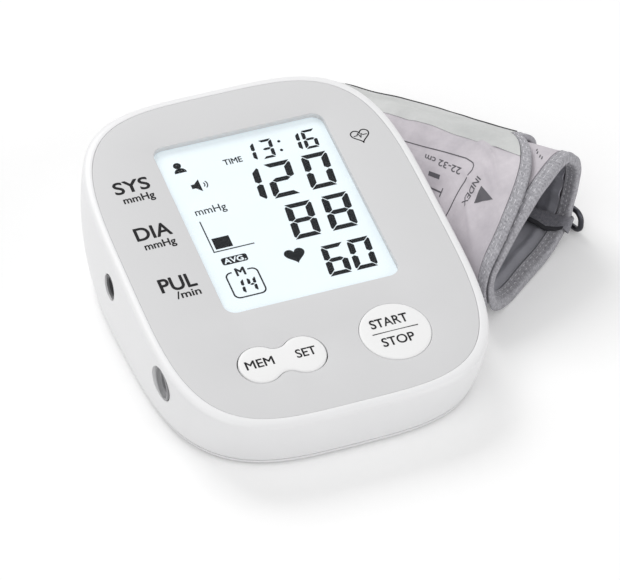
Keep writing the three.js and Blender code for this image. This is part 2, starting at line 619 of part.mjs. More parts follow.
function boardPieces() {
  const { left, right, bottom, top, corner } = BOARD;
  const outline = roundedBox(left, right, bottom, top, corner);
  const screwHoles = [...BOARD_SCREWS, ...BOARD_PEGS].map(([u, v]) =>
    rod(BOARD_SCREW.shank + GAP, boardBottom - OVERCUT, boardTop + OVERCUT, SMALL_SIDES, [u, v, 0]),
  );
  const under = boardBottom - GAP;
  const chipHalf = CHIP.side / 2;
  const buzzer = turned(
    [[BUZZER.port, under - BUZZER.height], [BUZZER.radius, under - BUZZER.height], [BUZZER.radius, under],
      [0, under], [0, under - BUZZER.height / 2], [BUZZER.port, under - BUZZER.height / 2]],
    ROUND_SIDES / 2,
    [BUZZER.u, BUZZER.v, 0],
  );
  const chip = block(CHIP.u - chipHalf, CHIP.u + chipHalf, CHIP.v - chipHalf, CHIP.v + chipHalf,
    under - CHIP.height, boardBottom + GAP);
  const sensorLeft = SENSOR.u - SENSOR.width / 2;
  const sensorPort = [sensorLeft, SENSOR.v, under - SENSOR.height / 2];
  const sensor = block(sensorLeft, SENSOR.u + SENSOR.width / 2, SENSOR.v - SENSOR.depth / 2,
    SENSOR.v + SENSOR.depth / 2, under - SENSOR.height, under)
    .add(rod(HOSE.nipple, -SENSOR.nipple, GAP, SMALL_SIDES / 2, sensorPort, "x"));
  return [
    piece("main_board", cut(slab(outline, boardBottom, boardTop), screwHoles).add(chip), COLOURS.board),
    piece("buzzer", buzzer, COLOURS.dark),
    piece("pressure_sensor", sensor, COLOURS.dark),
    ...BOARD_SCREWS.map(([u, v], i) =>
      piece(`board_screw_${i + 1}`, screwSolid(BOARD_SCREW, under, [u, v, 0]), COLOURS.steel),
    ),
  ];
}

// The bay stands beside the pump and as far back as the case's outline allows.
const bayHalf = (CELL.count * CELL.pitch) / 2 + BAY.side;
const bayMiddleX = pumpX - PUMP.radius - BAY.fromPump - BAY.wall - bayHalf;
const bayReach = Math.abs(bayMiddleX) + bayHalf + BAY.wall;
const bayBack = FOOT.middleY - BAY.fromOutline - BAY.wall
  + halfWidthAt(bayReach, FOOT.halfLength - CASE_WALL, FOOT.halfWidth - CASE_WALL, FOOT.exponent);
const bay = {
  ...BAY,
  left: bayMiddleX - bayHalf,
  right: bayMiddleX + bayHalf,
  front: bayBack - BAY.length,
  back: bayBack,
};
const cellAxis = DOOR.thickness + DOOR.cellGap + CELL.radius;
const cellX = (i) => bayMiddleX + (i - (CELL.count - 1) / 2) * CELL.pitch;
const tabXs = [(cellX(0) + cellX(1)) / 2, (cellX(2) + cellX(3)) / 2];

function bottomCover() {
  const tray = loft([footRing(FOOT_ROUND, 0), footRing(FOOT_ROUND * 0.3, FOOT_ROUND * 0.7),
    footRing(0, PARTING_HEIGHT)]);
  const inner = CASE_WALL + GAP;
  const tongueTop = FLOOR_THICKNESS + TONGUE.height;
  const raised = loft([footRing(inner, PARTING_HEIGHT - GAP), footRing(inner, tongueTop)]);
  const hollow = loft([
    footRing(inner + TONGUE.thickness, FLOOR_THICKNESS),
    footRing(inner + TONGUE.thickness, tongueTop + OVERCUT),
  ]);
  const bayOuter = block(bay.left - bay.wall, bay.right + bay.wall, bay.front - bay.wall,
    bay.back + bay.wall, FLOOR_THICKNESS - GAP, bay.roof + bay.wall);
  const bayInner = block(bay.left, bay.right, bay.front, bay.back, -OVERCUT, bay.roof);
  const tabSlots = tabXs.map((x) => {
    const half = DOOR.tabWidth / 2 + GAP;
    return block(x - half, x + half, bay.front - bay.wall - OVERCUT, bay.front + GAP,
      DOOR.tabFrom - GAP, DOOR.tabFrom + DOOR.tabHeight + 2 * GAP);
  });
  const bosses = caseScrews.map(([x, y]) =>
    rod(CASE_BOSS.radius, FLOOR_THICKNESS - GAP, CASE_BOSS.split, ROUND_SIDES / 2, [x, y, 0]),
  );
  const screwWells = caseScrews.flatMap(([x, y]) => [
    rod(CASE_SCREW.shank + GAP, -OVERCUT, CASE_BOSS.split + OVERCUT, SMALL_SIDES, [x, y, 0]),
    rod(CASE_SCREW.head + GAP, -OVERCUT, CASE_BOSS.seat, SMALL_SIDES, [x, y, 0]),
  ]);
  const footWells = feet.map(([x, y]) =>
    rod(FOOT_PAD.radius + GAP, -OVERCUT, FOOT_PAD.sink, ROUND_SIDES / 2, [x, y, 0]),
  );
  const body = joined([tray, raised.subtract(hollow), bayOuter, ...bosses, ...pumpSaddles(), valveCradle(),
    ...jackPosts()]);
  const solid = cut(body, [bayInner, ...tabSlots, ...screwWells, ...footWells]);
  return piece("bottom_cover", solid, COLOURS.white);
}

// Half-round supports under the pump.
function pumpSaddles() {
  const notch = rod(PUMP.radius + GAP, PUMP_VALVES.front - OVERCUT, pumpBack + OVERCUT, ROUND_SIDES,
    [pumpX, 0, PUMP.z], "y");
  const saddleHalf = PUMP.radius - SADDLE.inset;
  const spots = [crankFront + CRANK_CASE.length / 2, pumpBack - MOTOR.length / 2];
  return spots.map((y) =>
    block(pumpX - saddleHalf, pumpX + saddleHalf, y - SADDLE.thickness / 2,
      y + SADDLE.thickness / 2, FLOOR_THICKNESS - GAP, PUMP.z - PUMP.radius + SADDLE.lift).subtract(notch),
  );
}

// A low fence that holds the release valve.
function valveCradle() {
  const outer = GAP + CASE_WALL / 2;
  const fence = block(valveLeft - outer, valveLeft + VALVE.width + outer, VALVE.y - VALVE.depth / 2 - outer,
    VALVE.y + VALVE.depth / 2 + outer, FLOOR_THICKNESS - GAP, VALVE.bottom + VALVE.fence);
  const room = block(valveLeft - GAP, valveLeft + VALVE.width + GAP, VALVE.y - VALVE.depth / 2 - GAP,
    VALVE.y + VALVE.depth / 2 + GAP, FLOOR_THICKNESS, FACE_HEIGHT);
  return fence.subtract(room);
}

// Posts that carry the two sockets and the manifold from the floor.
function jackPosts() {
  const post = (x, y, top) =>
    block(x - POST.halfWidth, x + POST.halfWidth, y - POST.halfDepth, y + POST.halfDepth,
      FLOOR_THICKNESS - GAP, top);
  const jackTop = DC_JACK.z - JACK_BODY.half - GAP;
  const socketTop = AIR_SOCKET.z - AIR_SOCKET.barrel - GAP;
  return [
    post(POST.jackFromWall - wallSide(DC_JACK.y, jackTop / 2), DC_JACK.y, jackTop),
    post(POST.socketFromWall - wallSide(AIR_SOCKET.y, socketTop / 2), AIR_SOCKET.y, socketTop),
    post(manifoldX, POST.manifoldY, MANIFOLD.z - MANIFOLD.radius - GAP),
  ];
}

function batteryDoor() {
  const [left, right] = [bay.left + GAP, bay.right - GAP];
  const plate = block(left, right, bay.front + GAP, bay.back - GAP, 0, DOOR.thickness);
  const tabs = tabXs.map((x) => {
    const half = DOOR.tabWidth / 2;
    const riser = block(x - half, x + half, bay.front + GAP, bay.front + GAP + 1.2, DOOR.thickness - GAP,
      DOOR.tabFrom + DOOR.tabHeight);
    const hook = block(x - half, x + half, bay.front - DOOR.tabReach, bay.front + 2 * GAP, DOOR.tabFrom,
      DOOR.tabFrom + DOOR.tabHeight);
    return riser.add(hook);
  });
  const grips = Array.from({ length: GRIP.count }, (_, i) => {
    const y = bay.back - GRIP.fromBack - i * GRIP.pitch;
    return block(bayMiddleX - GRIP.length / 2, bayMiddleX + GRIP.length / 2, y - GRIP.width / 2,
      y + GRIP.width / 2, -OVERCUT, GRIP.depth);
  });
  return piece("battery_door", cut(joined([plate, ...tabs]), grips), COLOURS.white);
}

// Cells alternate, so that their ends join in a row.
const facesBack = (i) => i % 2 === 0;
const contactDepth = GAP + CONTACT.thickness + GAP;

function cells() {
  const { radius, body, nub, nubRadius } = CELL;
  const profile = [[0, 0], [radius - 0.4, 0], [radius, 0.4], [radius, body - 0.4], [radius - 0.4, body],
    [nubRadius, body], [nubRadius, body + nub], [0, body + nub]];
  return Array.from({ length: CELL.count }, (_, i) => {
    const flipped = profile.map(([r, y]) => [r, -y]);
    const y = facesBack(i) ? bay.back - contactDepth - body - nub : bay.front + contactDepth + body + nub;
    const cell = turned(facesBack(i) ? profile : flipped, ROUND_SIDES, [cellX(i), y, cellAxis], "y");
    return piece(`battery_${i + 1}`, cell, COLOURS.cell);
  });
}

// A coil that stands on a contact plate and presses on a cell.
function springSolid(x, seat, direction) {
  const { radius, wire, turns, length, wireSides, turnSteps } = CELL_SPRING;
  class Helix extends THREE.Curve {
    getPoint(t) {
      const angle = t * turns * Math.PI * 2;
      const y = seat + direction * (wire * 0.2 + t * length);
      return new THREE.Vector3(x + radius * Math.cos(angle), y, cellAxis + radius * Math.sin(angle));
    }
  }
  const section = disc(0, 0, wire, wireSides);
  const settings = { steps: turns * turnSteps, extrudePath: new Helix(), bevelEnabled: false };
  return solidFrom(new THREE.ExtrudeGeometry(section, settings));
}

function contacts() {
  const front = bay.front + GAP;
  const back = bay.back - GAP - CONTACT.thickness;
  const groups = [
    { name: "contact_back_left", at: [0, 1], y: back },
    { name: "contact_back_right", at: [2, 3], y: back },
    { name: "contact_front_left", at: [0], y: front },
    { name: "contact_front_middle", at: [1, 2], y: front },
    { name: "contact_front_right", at: [3], y: front },
  ];
  return groups.map(({ name, at, y }) => {
    const isBack = y === back;
    const plate = block(cellX(at[0]) - CONTACT.overlap, cellX(at.at(-1)) + CONTACT.overlap, y,
      y + CONTACT.thickness, cellAxis - CONTACT.height / 2, cellAxis + CONTACT.height / 2);
    const sprung = at.filter((i) => facesBack(i) !== isBack);
    const seat = isBack ? y : y + CONTACT.thickness;
    const springs = sprung.map((i) => springSolid(cellX(i), seat, isBack ? -1 : 1));
    return piece(name, joined([plate, ...springs]), COLOURS.steel);
  });
}

function airSocket() {
  const { radius, lip, mouth, mouthDepth, barrel, bore, taperEnd, depth, length } = AIR_SOCKET;
  const profile = [[0, depth], [bore, depth], [bore, taperEnd], [mouth, mouthDepth], [mouth, 0],
    [radius - GAP, 0], [radius - GAP, lip], [barrel, lip], [barrel, length], [0, length]];
  const place = [airFace, AIR_SOCKET.y, AIR_SOCKET.z];
  const body = turned(profile, ROUND_SIDES, place, "x");
  const elbow = rod(HOSE.nipple, bore + GAP, barrel + ELBOW_LENGTH, SMALL_SIDES,
    [elbowX, AIR_SOCKET.y, AIR_SOCKET.z], "y");
  const outlet = rod(HOSE.nipple / 2, 0, barrel + ELBOW_LENGTH + OVERCUT, SMALL_SIDES / 2,
    [elbowX, AIR_SOCKET.y, AIR_SOCKET.z], "y");
  return piece("air_socket", body.add(elbow).subtract(outlet), COLOURS.socket);
}

function dcJack() {
  const { bore, depth, length, radius } = DC_JACK;
  const { half } = JACK_BODY;
  const front = jackFace + JACK_BODY.behindFace;
  const place = [jackFace, DC_JACK.y, DC_JACK.z];
  const body = block(front, front + length, DC_JACK.y - half, DC_JACK.y + half, DC_JACK.z - half,
    DC_JACK.z + half);
  const collar = rod(radius - GAP, 0, JACK_BODY.behindFace + GAP, ROUND_SIDES, place, "x");
  const hole = rod(bore, -OVERCUT, depth, SMALL_SIDES, place, "x");
  const pin = rod(DC_JACK.pin, JACK_BODY.pinFrom, depth + OVERCUT, SMALL_SIDES / 2, place, "x");
  return piece("dc_jack", cut(joined([body, collar]), [hole]).add(pin), COLOURS.dark);
}

const elbowX = airFace + AIR_SOCKET.depth - HOSE.nipple;
const diaphragmFront = PUMP_VALVES.back + GAP;
const crankFront = diaphragmFront + PUMP_DIAPHRAGM + GAP;
const motorFront = crankFront + CRANK_CASE.length + GAP;
const pumpBack = motorFront + MOTOR.length;

function pumpPieces() {
  const place = [pumpX, 0, PUMP.z];
  const { radius } = PUMP;
  const head = rod(radius, PUMP_VALVES.front, PUMP_VALVES.back, ROUND_SIDES, place, "y")
    .add(rod(HOSE.nipple, -PUMP_VALVES.nipple, GAP, SMALL_SIDES, place, "y"));
  const diaphragmBack = diaphragmFront + PUMP_DIAPHRAGM;
  const diaphragm = rod(radius, diaphragmFront, diaphragmBack, ROUND_SIDES / 2, place, "y");
  const crankBack = crankFront + CRANK_CASE.length;
  const { cavity, wall } = CRANK_CASE;
  const crankCase = turned([[0, crankFront], [radius, crankFront], [radius, crankBack], [cavity, crankBack],
    [cavity, crankFront + wall], [0, crankFront + wall]], ROUND_SIDES, place, "y");
  const bore = radius - MOTOR.wall;
  const can = turned([[radius, motorFront], [radius, pumpBack], [MOTOR.bearing, pumpBack],
    [MOTOR.bearing, pumpBack - MOTOR.wall * 2], [bore, pumpBack - MOTOR.wall * 2], [bore, motorFront]],
  ROUND_SIDES, place, "y");
  const shaftFront = crankFront + CRANK_CASE.wall + CRANK.clearance;
  const armatureFront = motorFront + ARMATURE.inset;
  const shaft = rod(MOTOR.shaft, shaftFront, pumpBack + MOTOR.shaftProud, SMALL_SIDES, place, "y");
  const armature = rod(ARMATURE.radius, armatureFront, armatureFront + ARMATURE.length, ROUND_SIDES / 2,
    place, "y");
  const crank = rod(CRANK.radius, shaftFront, shaftFront + CRANK.length, ROUND_SIDES / 2,
    [pumpX + CRANK.throw, 0, PUMP.z], "y");
  return [
    piece("pump_valve_cover", head, COLOURS.frame),
    piece("pump_diaphragm", diaphragm, COLOURS.rubber),
    piece("pump_crank_case", crankCase, COLOURS.frame),
    piece("pump_motor_can", can, COLOURS.steel),
    piece("pump_rotor", joined([shaft, armature, crank]), COLOURS.gunmetal),
  ];
}

const valveMiddleZ = VALVE.bottom + VALVE.height / 2;

function valvePieces() {
  const place = [0, VALVE.y, valveMiddleZ];
  const coil = block(valveLeft, valveRight, VALVE.y - VALVE.depth / 2, VALVE.y + VALVE.depth / 2,
    VALVE.bottom, VALVE.bottom + VALVE.height);
  const seat = valveRight + PLUNGER.proud - PLUNGER.length - PLUNGER.travel - GAP;
  const bore = rod(PLUNGER.bore, seat, valveRight + OVERCUT, SMALL_SIDES, place, "x");
  const nipple = rod(HOSE.nipple, valveLeft - HOSE.cover - GAP, valveLeft + GAP, SMALL_SIDES, place, "x");
  const plungerEnd = valveRight + PLUNGER.proud;
  const plunger = rod(PLUNGER.radius, plungerEnd - PLUNGER.length, plungerEnd, SMALL_SIDES, place, "x")
    .add(rod(PLUNGER.headRadius, plungerEnd - PLUNGER.head, plungerEnd, SMALL_SIDES, place, "x"));
  return [
    piece("release_valve", coil.subtract(bore).add(nipple), COLOURS.dark),
    piece("valve_plunger", plunger, COLOURS.steel),
  ];
}

const manifoldPorts = {
  valve: { y: VALVE.y, along: "x" },
  pump: { y: VALVE.y + MANIFOLD.pumpPort, along: "x" },
  socket: { y: VALVE.y + MANIFOLD.socketPort, along: "z" },
};

function manifold() {
  const { z, front, back, radius } = MANIFOLD;
  const x = manifoldX;
  const reach = radius + HOSE.cover + GAP;
  const body = rod(radius, front, back, SMALL_SIDES, [x, 0, z], "y");
  const frontPort = rod(HOSE.nipple, front - HOSE.cover - GAP, front + GAP, SMALL_SIDES, [x, 0, z], "y");
  const ports = Object.values(manifoldPorts).map(({ y, along }) =>
    rod(HOSE.nipple, 0, reach, SMALL_SIDES, [x, y, z], along),
  );
  return piece("air_manifold", joined([body, frontPort, ...ports]), COLOURS.frame);
}

// A soft tube with a bore along a smooth line through the points.
function hose(name, points) {
  const path = new THREE.CatmullRomCurve3(points.map((p) => new THREE.Vector3(...p)), false, "centripetal");
  const section = new THREE.Shape();
  section.absarc(0, 0, HOSE.outer, 0, Math.PI * 2);
  const bore = new THREE.Path();
  bore.absarc(0, 0, HOSE.bore, 0, Math.PI * 2, true);
  section.holes.push(bore);
  const steps = Math.max(2, Math.round(path.getLength() / HOSE.step));
  const settings = { steps, extrudePath: path, curveSegments: HOSE.sides, bevelEnabled: false };
  return piece(name, solidFrom(new THREE.ExtrudeGeometry(section, settings)), COLOURS.clear);
}

function hoses() {
  const { z, front, radius } = MANIFOLD;
  const x = manifoldX;
  const start = radius + GAP;
  const { valve, pump, socket } = manifoldPorts;
  const elbowY = AIR_SOCKET.y + AIR_SOCKET.barrel + GAP;
  const pumpMouth = PUMP_VALVES.front - GAP;
  const under = fromFace(SENSOR.u, SENSOR.v, boardBottom - GAP - SENSOR.height / 2);
  const sensorLeft = SENSOR.u - SENSOR.width / 2 - GAP;
  return [
    hose("valve_hose", [[x + start, valve.y, z], [valveLeft - GAP, valve.y, valveMiddleZ]]),
    hose("pump_hose", [
      [pumpX, pumpMouth, PUMP.z],
      [pumpX, pumpMouth - HOSE.straight, PUMP.z],
      [pumpX - 6, pumpMouth - 9, PUMP.z - 1.5],
      [pumpX - 20, pump.y + 1, z + 1],
      [valveRight, pump.y, z],
      [valveLeft, pump.y, z],
      [x + start + 4, pump.y, z],
      [x + start, pump.y, z],
    ]),
    hose("socket_hose", [
      [elbowX, elbowY, AIR_SOCKET.z],
      [elbowX, elbowY + HOSE.straight, AIR_SOCKET.z],
      [x, socket.y, z + start + HOSE.drop],
      [x, socket.y, z + start],
    ]),
    hose("sensor_hose", [
      [sensorLeft, under.y, under.z],
      [sensorLeft - HOSE.straight, under.y, under.z],
      [x, front - HOSE.straight - 1, z],
      [x, front - GAP, z],
    ]),
  ];
}

function caseScrewsAndFeet() {
  const screws = caseScrews.map(([x, y], i) =>
    piece(`case_screw_${i + 1}`, screwSolid(CASE_SCREW, CASE_BOSS.seat - GAP, [x, y, 0]), COLOURS.steel),
  );
  const pads = feet.map(([x, y], i) => {
    const pad = rod(FOOT_PAD.radius, -FOOT_PAD.proud, FOOT_PAD.sink - GAP, ROUND_SIDES / 2, [x, y, 0]);
    return piece(`rubber_foot_${i + 1}`, pad, COLOURS.rubber);
  });
  return [...screws, ...pads];
}

// The closed curve of one cuff section, in the frame's own axes.
const sectionCurves = CUFF_SECTIONS.map(({ corner, across, outline }) => {
  const points = outline.map(
    ([w, h]) => new THREE.Vector3(corner[0] + w * Math.cos(across), corner[1] + w * Math.sin(across), h),
  );
  return new THREE.CatmullRomCurve3(points, true, "centripetal");
});

// A smooth blend through the near, middle and far sections.
function blendWeights(share) {
  return [
    (1 - share) * (1 - 2 * share),
    4 * share * (1 - share),
    share * (2 * share - 1),
  ];
}

// A point of the cuff: round its loop in steps, along it in millimetres, and out from its skin.
function cuffPoint(round, along, out) {
  const turn = (round / CUFF_ROUND_STEPS) % 1;
  const share = along / CUFF_WIDTH;
  const weights = blendWeights(share);
  const sum = (samples) =>
    samples.reduce((total, p, i) => total.addScaledVector(p, weights[i]), new THREE.Vector3());
  const place = sum(sectionCurves.map((curve) => curve.getPoint(turn)));
  const step = 0.004;
  const ahead = sum(sectionCurves.map((curve) => curve.getPoint((turn + step) % 1)));
  const behind = sum(sectionCurves.map((curve) => curve.getPoint((turn - step + 1) % 1)));
  const across = THREE.MathUtils.lerp(CUFF_SECTIONS[0].across, CUFF_SECTIONS[2].across, share);
  const axis = new THREE.Vector3(-Math.sin(across), Math.cos(across), 0);
  const outward = axis.cross(ahead.sub(behind)).normalize();
  const point = place.addScaledVector(outward, out);
  point.z += CUFF_FLOOR;
  return point;
}

// A layer of the cuff between two offsets from its skin, over part of its loop and of its width.
function cuffLayer({
  from = 0, to = CUFF_ROUND_STEPS, front, back, inner, outer, steps = CUFF_LENGTH_STEPS,
}) {
  const closed = to - from === CUFF_ROUND_STEPS;
  const start = typeof front === "function" ? front : () => front;
  const end = typeof back === "function" ? back : () => back;
  const pointAt = (u, v, side) => {
    const round = from + u * (to - from);
    const along = THREE.MathUtils.lerp(start(round), end(round), v);
    return cuffPoint(round, along, side ? outer : inner);
  };
  return thickSkin(pointAt, Math.round(to - from), steps, closed);
}

// The flap's near edge sweeps back in a curve from the floor to its furthest at the crest.
function flapFront(round) {
  const climb = THREE.MathUtils.clamp((FLAP.to - round) / (FLAP.to - FLAP.crestAt), 0, 1);
  return THREE.MathUtils.lerp(FLAP.footSetBack, FLAP.crestSetBack, climb ** FLAP.sweep);
}

function cuffPieces() {
  const { skin, bladder, binding, lip } = FABRIC;
  const bladderOuter = -skin - GAP;
  const liningOuter = bladderOuter - bladder - GAP;
  const liningInner = liningOuter - skin;
  const tapeOuter = liningInner - HOOK_TAPE.gap;
  const front = binding + GAP;
  const back = CUFF_WIDTH - binding - GAP;
  const edge = { inner: liningInner - lip, outer: lip / 2, steps: 2 };
  const flapInner = lip / 2 + GAP;
  const flapOuter = flapInner + FLAP.thickness;
  const flapEdge = { from: FLAP.from, to: FLAP.to, inner: flapInner, outer: flapOuter + lip };
  return [
    piece("cuff_shell", cuffLayer({ front, back, inner: -skin, outer: 0 }), COLOURS.cloth),
    piece("cuff_bladder", cuffLayer({ ...BLADDER, back: CUFF_WIDTH - BLADDER.back,
      inner: bladderOuter - bladder, outer: bladderOuter }), COLOURS.rubber),
    piece("cuff_lining", cuffLayer({ front, back, inner: liningInner, outer: liningOuter }), COLOURS.lining),
    piece("cuff_near_binding", cuffLayer({ front: 0, back: binding, ...edge }), COLOURS.tape),
    piece("cuff_far_binding", cuffLayer({ front: CUFF_WIDTH - binding, back: CUFF_WIDTH, ...edge }),
      COLOURS.tape),
    piece("cuff_flap", cuffLayer({ from: FLAP.from, to: FLAP.to, front: (r) => flapFront(r) + binding + GAP,
      back: CUFF_WIDTH, inner: flapInner, outer: flapOuter }), COLOURS.cloth),
    piece("cuff_flap_binding", cuffLayer({ ...flapEdge, front: flapFront,
      back: (r) => flapFront(r) + binding, steps: 2 }), COLOURS.tape),
    piece("cuff_hook_tape", cuffLayer({ from: HOOK_TAPE.from, to: HOOK_TAPE.to, front: HOOK_TAPE.front,
      back: HOOK_TAPE.back, inner: tapeOuter - HOOK_TAPE.thickness, outer: tapeOuter,
      steps: 4 }), COLOURS.hook),
  ];
}

// The metal ring hangs under the roll's far side: its frame runs along that side.
const ringFrame = (() => {
  const at = ({ corner, across }, distance) => new THREE.Vector3(
    corner[0] + distance * Math.cos(across),
    corner[1] + distance * Math.sin(across),
    0,
  );
  const near = at(CUFF_SECTIONS[0], RING.acrossNear);
  const middle = at(CUFF_SECTIONS[1], RING.acrossMiddle);
  const direction = middle.clone().sub(near).normalize();
  const height = CUFF_FLOOR + RING.height - RING.wire - 0.2;
  const start = near.clone().addScaledVector(direction, -RING.proud).setZ(height);
  return { start, direction, height };
})();

function ringMatrix() {
  const { start, direction } = ringFrame;
  const up = new THREE.Vector3(0, 0, 1);
  const side = direction.clone().cross(up);
  return new THREE.Matrix4().makeBasis(direction, up, side).setPosition(start);
}

function ringPieces() {
  const { wire, height, length, corner } = RING;
  const drop = height - 2 * wire;
  const outline = roundedBox(-wire, length + wire, -drop - wire, wire, corner + wire);
  outline.holes.push(new THREE.Path(
    roundedBox(wire, length - wire, -drop + wire, -wire, corner - wire).getPoints(5).reverse(),
  ));
  const chamfer = wire * (2 - Math.SQRT2);
  const settings = {
    depth: 2 * (wire - chamfer),
    bevelThickness: chamfer,
    bevelSize: chamfer,
    bevelOffset: -chamfer,
    bevelSegments: 1,
    curveSegments: 4,
  };
  const loop = solidFrom(new THREE.ExtrudeGeometry(outline, settings).translate(0, 0, chamfer - wire));
  const sleeve = ring(wire + GAP, wire + GAP + RING_LOOP.skin, RING_LOOP.from, RING_LOOP.to,
    SMALL_SIDES, [0, 0, 0], "x");
  const matrix = ringMatrix();
  const placed = (solid) => solidFrom(geometryFrom(solid).applyMatrix4(matrix));
  return [
    piece("cuff_ring", placed(loop), COLOURS.gunmetal),
    piece("cuff_ring_loop", placed(sleeve), COLOURS.tape),
  ];
}

// The tube that takes the air hose, on a patch that follows the roll's far side.
function hosePort() {
  const { from, to, front, back, thickness, stubFront, length } = HOSE_PORT;
  const patch = cuffLayer({ from, to, front, back, inner: GAP, outer: GAP + thickness, steps: 3 });
  const middle = (from + to) / 2;
  const offset = GAP + thickness + HOSE.outer - GAP;
  const start = cuffPoint(middle, stubFront, offset);
  const ahead = cuffPoint(middle, stubFront + length, offset).sub(start).normalize();
  const outward = cuffPoint(middle, stubFront, offset + 1).sub(start).normalize();
  const side = ahead.clone().cross(outward).normalize();
  const matrix = new THREE.Matrix4().makeBasis(side, ahead, side.clone().cross(ahead)).setPosition(start);
  const stub = ring(HOSE.nipple, HOSE.outer, 0, length, SMALL_SIDES, [0, 0, 0], "y");
  const placed = solidFrom(geometryFrom(stub).applyMatrix4(matrix));
  return piece("cuff_hose_port", patch.add(placed), COLOURS.tape);
}

const face = new THREE.Group();
face.position.set(0, 0, FACE_HEIGHT);
face.rotation.x = FACE_TILT;
face.add(facePanel(), screenLens(), ...screenPieces(), startButton(), rockerKey(), ...keyDomes());
face.add(...boardPieces());

const monitor = new THREE.Group();
monitor.add(topCover(), face, bottomCover(), batteryDoor(), ...cells(), ...contacts());
monitor.add(airSocket(), dcJack(), ...pumpPieces(), ...valvePieces(), manifold(), ...hoses());
monitor.add(...caseScrewsAndFeet());

const cuff = new THREE.Group();
cuff.add(...cuffPieces(), ...ringPieces(), hosePort());

const part = new THREE.Group();
part.add(monitor, cuff);

export default part;
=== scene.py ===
"""The looks of a desk blood pressure monitor and its rolled arm cuff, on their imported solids.

Lengths are in millimetres and are brought to metres as each piece is placed.
"""

import json
import math

import bmesh
import bpy
from mathutils import Matrix, Vector, noise


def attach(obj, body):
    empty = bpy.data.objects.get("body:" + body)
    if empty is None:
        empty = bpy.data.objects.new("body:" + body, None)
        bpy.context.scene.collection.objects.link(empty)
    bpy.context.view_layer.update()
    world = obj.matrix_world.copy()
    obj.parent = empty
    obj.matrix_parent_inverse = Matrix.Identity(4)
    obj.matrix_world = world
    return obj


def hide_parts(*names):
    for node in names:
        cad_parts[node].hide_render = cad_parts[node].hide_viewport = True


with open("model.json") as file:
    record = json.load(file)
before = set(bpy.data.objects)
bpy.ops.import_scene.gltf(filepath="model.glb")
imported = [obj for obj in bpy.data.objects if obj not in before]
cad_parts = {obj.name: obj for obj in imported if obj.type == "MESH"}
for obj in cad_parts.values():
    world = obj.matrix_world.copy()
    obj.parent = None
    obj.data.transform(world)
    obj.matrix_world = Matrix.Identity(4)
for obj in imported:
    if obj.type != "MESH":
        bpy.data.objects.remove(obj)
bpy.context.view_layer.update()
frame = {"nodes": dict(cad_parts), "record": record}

MM = 0.001
UP = Vector((0, 0, 1))

# The sloping face and the case's outlines, as in the solids. Places on the face are (u, v), from
# its middle to the right and up the slope.
FACE_TILT = math.radians(10)
FACE_HEIGHT = 33.5
ON_FACE = Matrix.Translation((0, 0, FACE_HEIGHT)) @ Matrix.Rotation(FACE_TILT, 4, "X")
PANEL_HALF_WIDTH, PANEL_HALF_LENGTH, PANEL_EXPONENT = 53, 69.8, 3.9
PANEL_THICKNESS, PANEL_SOFT_EDGE = 2, 0.22
WINDOW_TOP, WINDOW_BOTTOM, WINDOW_SOFT_EDGE = -0.4, -1.95, 0.15
PLATE_TOP, PLATE_BOTTOM = -2.3, -3.9
FOOT_HALF_WIDTH, FOOT_HALF_LENGTH, FOOT_EXPONENT, FOOT_MIDDLE_Y = 55.4, 69.2, 3.34, 2.6
RIM_OUT, RIM_DROP, RIM_FLAT, RIM_GUTTER, LEDGE_WIDTH = 2.8, 1.6, 0.2, 0.06, 9
# The side wall swells by this depth where it is this tall
BULGE_DEPTH, BULGE_AT = 2.1, 40
CASE_WALL, PARTING_HEIGHT, GAP = 2.2, 1.6, 0.3
CASE_SIDES = 240

SCREEN_LEFT, SCREEN_RIGHT, SCREEN_BOTTOM, SCREEN_TOP, SCREEN_CORNER = -27.8, 32.3, -23.6, 52, 4
GLASS_TOP = -2.3
START_U, START_V, START_RADIUS = 21.2, -46.3, 11.4
ROCKER_U, ROCKER_V, LOBE_REACH, LOBE_RADIUS, WAIST = -17.35, -46.35, 7.35, 7.2, 4.7
KEY_GAP, KEY_PROUD = 0.4, 0.3
# Where nothing moves sideways, the finished edges stand closer than the plain solids
PANEL_SEAM, START_SEAM, ROCKER_SIDE_SEAM = 0.08, 0.12, 0.16

# The sockets' faces, and the plugs that their holes are cut with: their middles and depths
AIR_Y, AIR_Z, AIR_FACE = -35.5, 18.6, -54.6
AIR_HOLE_RADIUS, AIR_HOLE_X, AIR_HOLE_DEPTH = 6, AIR_FACE - 1.8, 8
JACK_Y, JACK_Z, JACK_FACE = 9.5, 24, -56.4
JACK_HOLE_RADIUS, JACK_HOLE_X, JACK_HOLE_DEPTH = 4.6, JACK_FACE - 0.5, 9

# The cuff's three sections: the corner on the floor, the line across, and the outline over it
CUFF_FLOOR, CUFF_LOWEST = -0.45, -0.95
CUFF_WIDTH = 116
CUFF_STEPS = 36
CUFF_SECTIONS = [
    ((68.7, -21.6), 37.3, [(4, 0.3), (20, 0), (35, 1), (46, 6), (52, 16), (54.3, 26),
                           (46.5, 37), (30, 37), (10, 29.5), (-6.5, 20), (-6, 6)]),
    ((60.5, 38.5), 42, [(3, 0.2), (17.3, 2), (25.4, 0.1), (36.3, 3.4), (38.6, 10.9), (34.7, 16.7),
                        (25, 23.5), (14.5, 27.5), (5, 24), (-0.5, 15), (-0.5, 5)]),
    ((42, 82), 46, [(3, 0.2), (11, 0.7), (19.5, 0), (27, 2), (28.3, 6.1), (23.9, 11.4),
                    (16.6, 15.2), (9.5, 18.5), (3, 16.5), (-0.5, 10.5), (-0.5, 4)]),
]
BINDING = 5
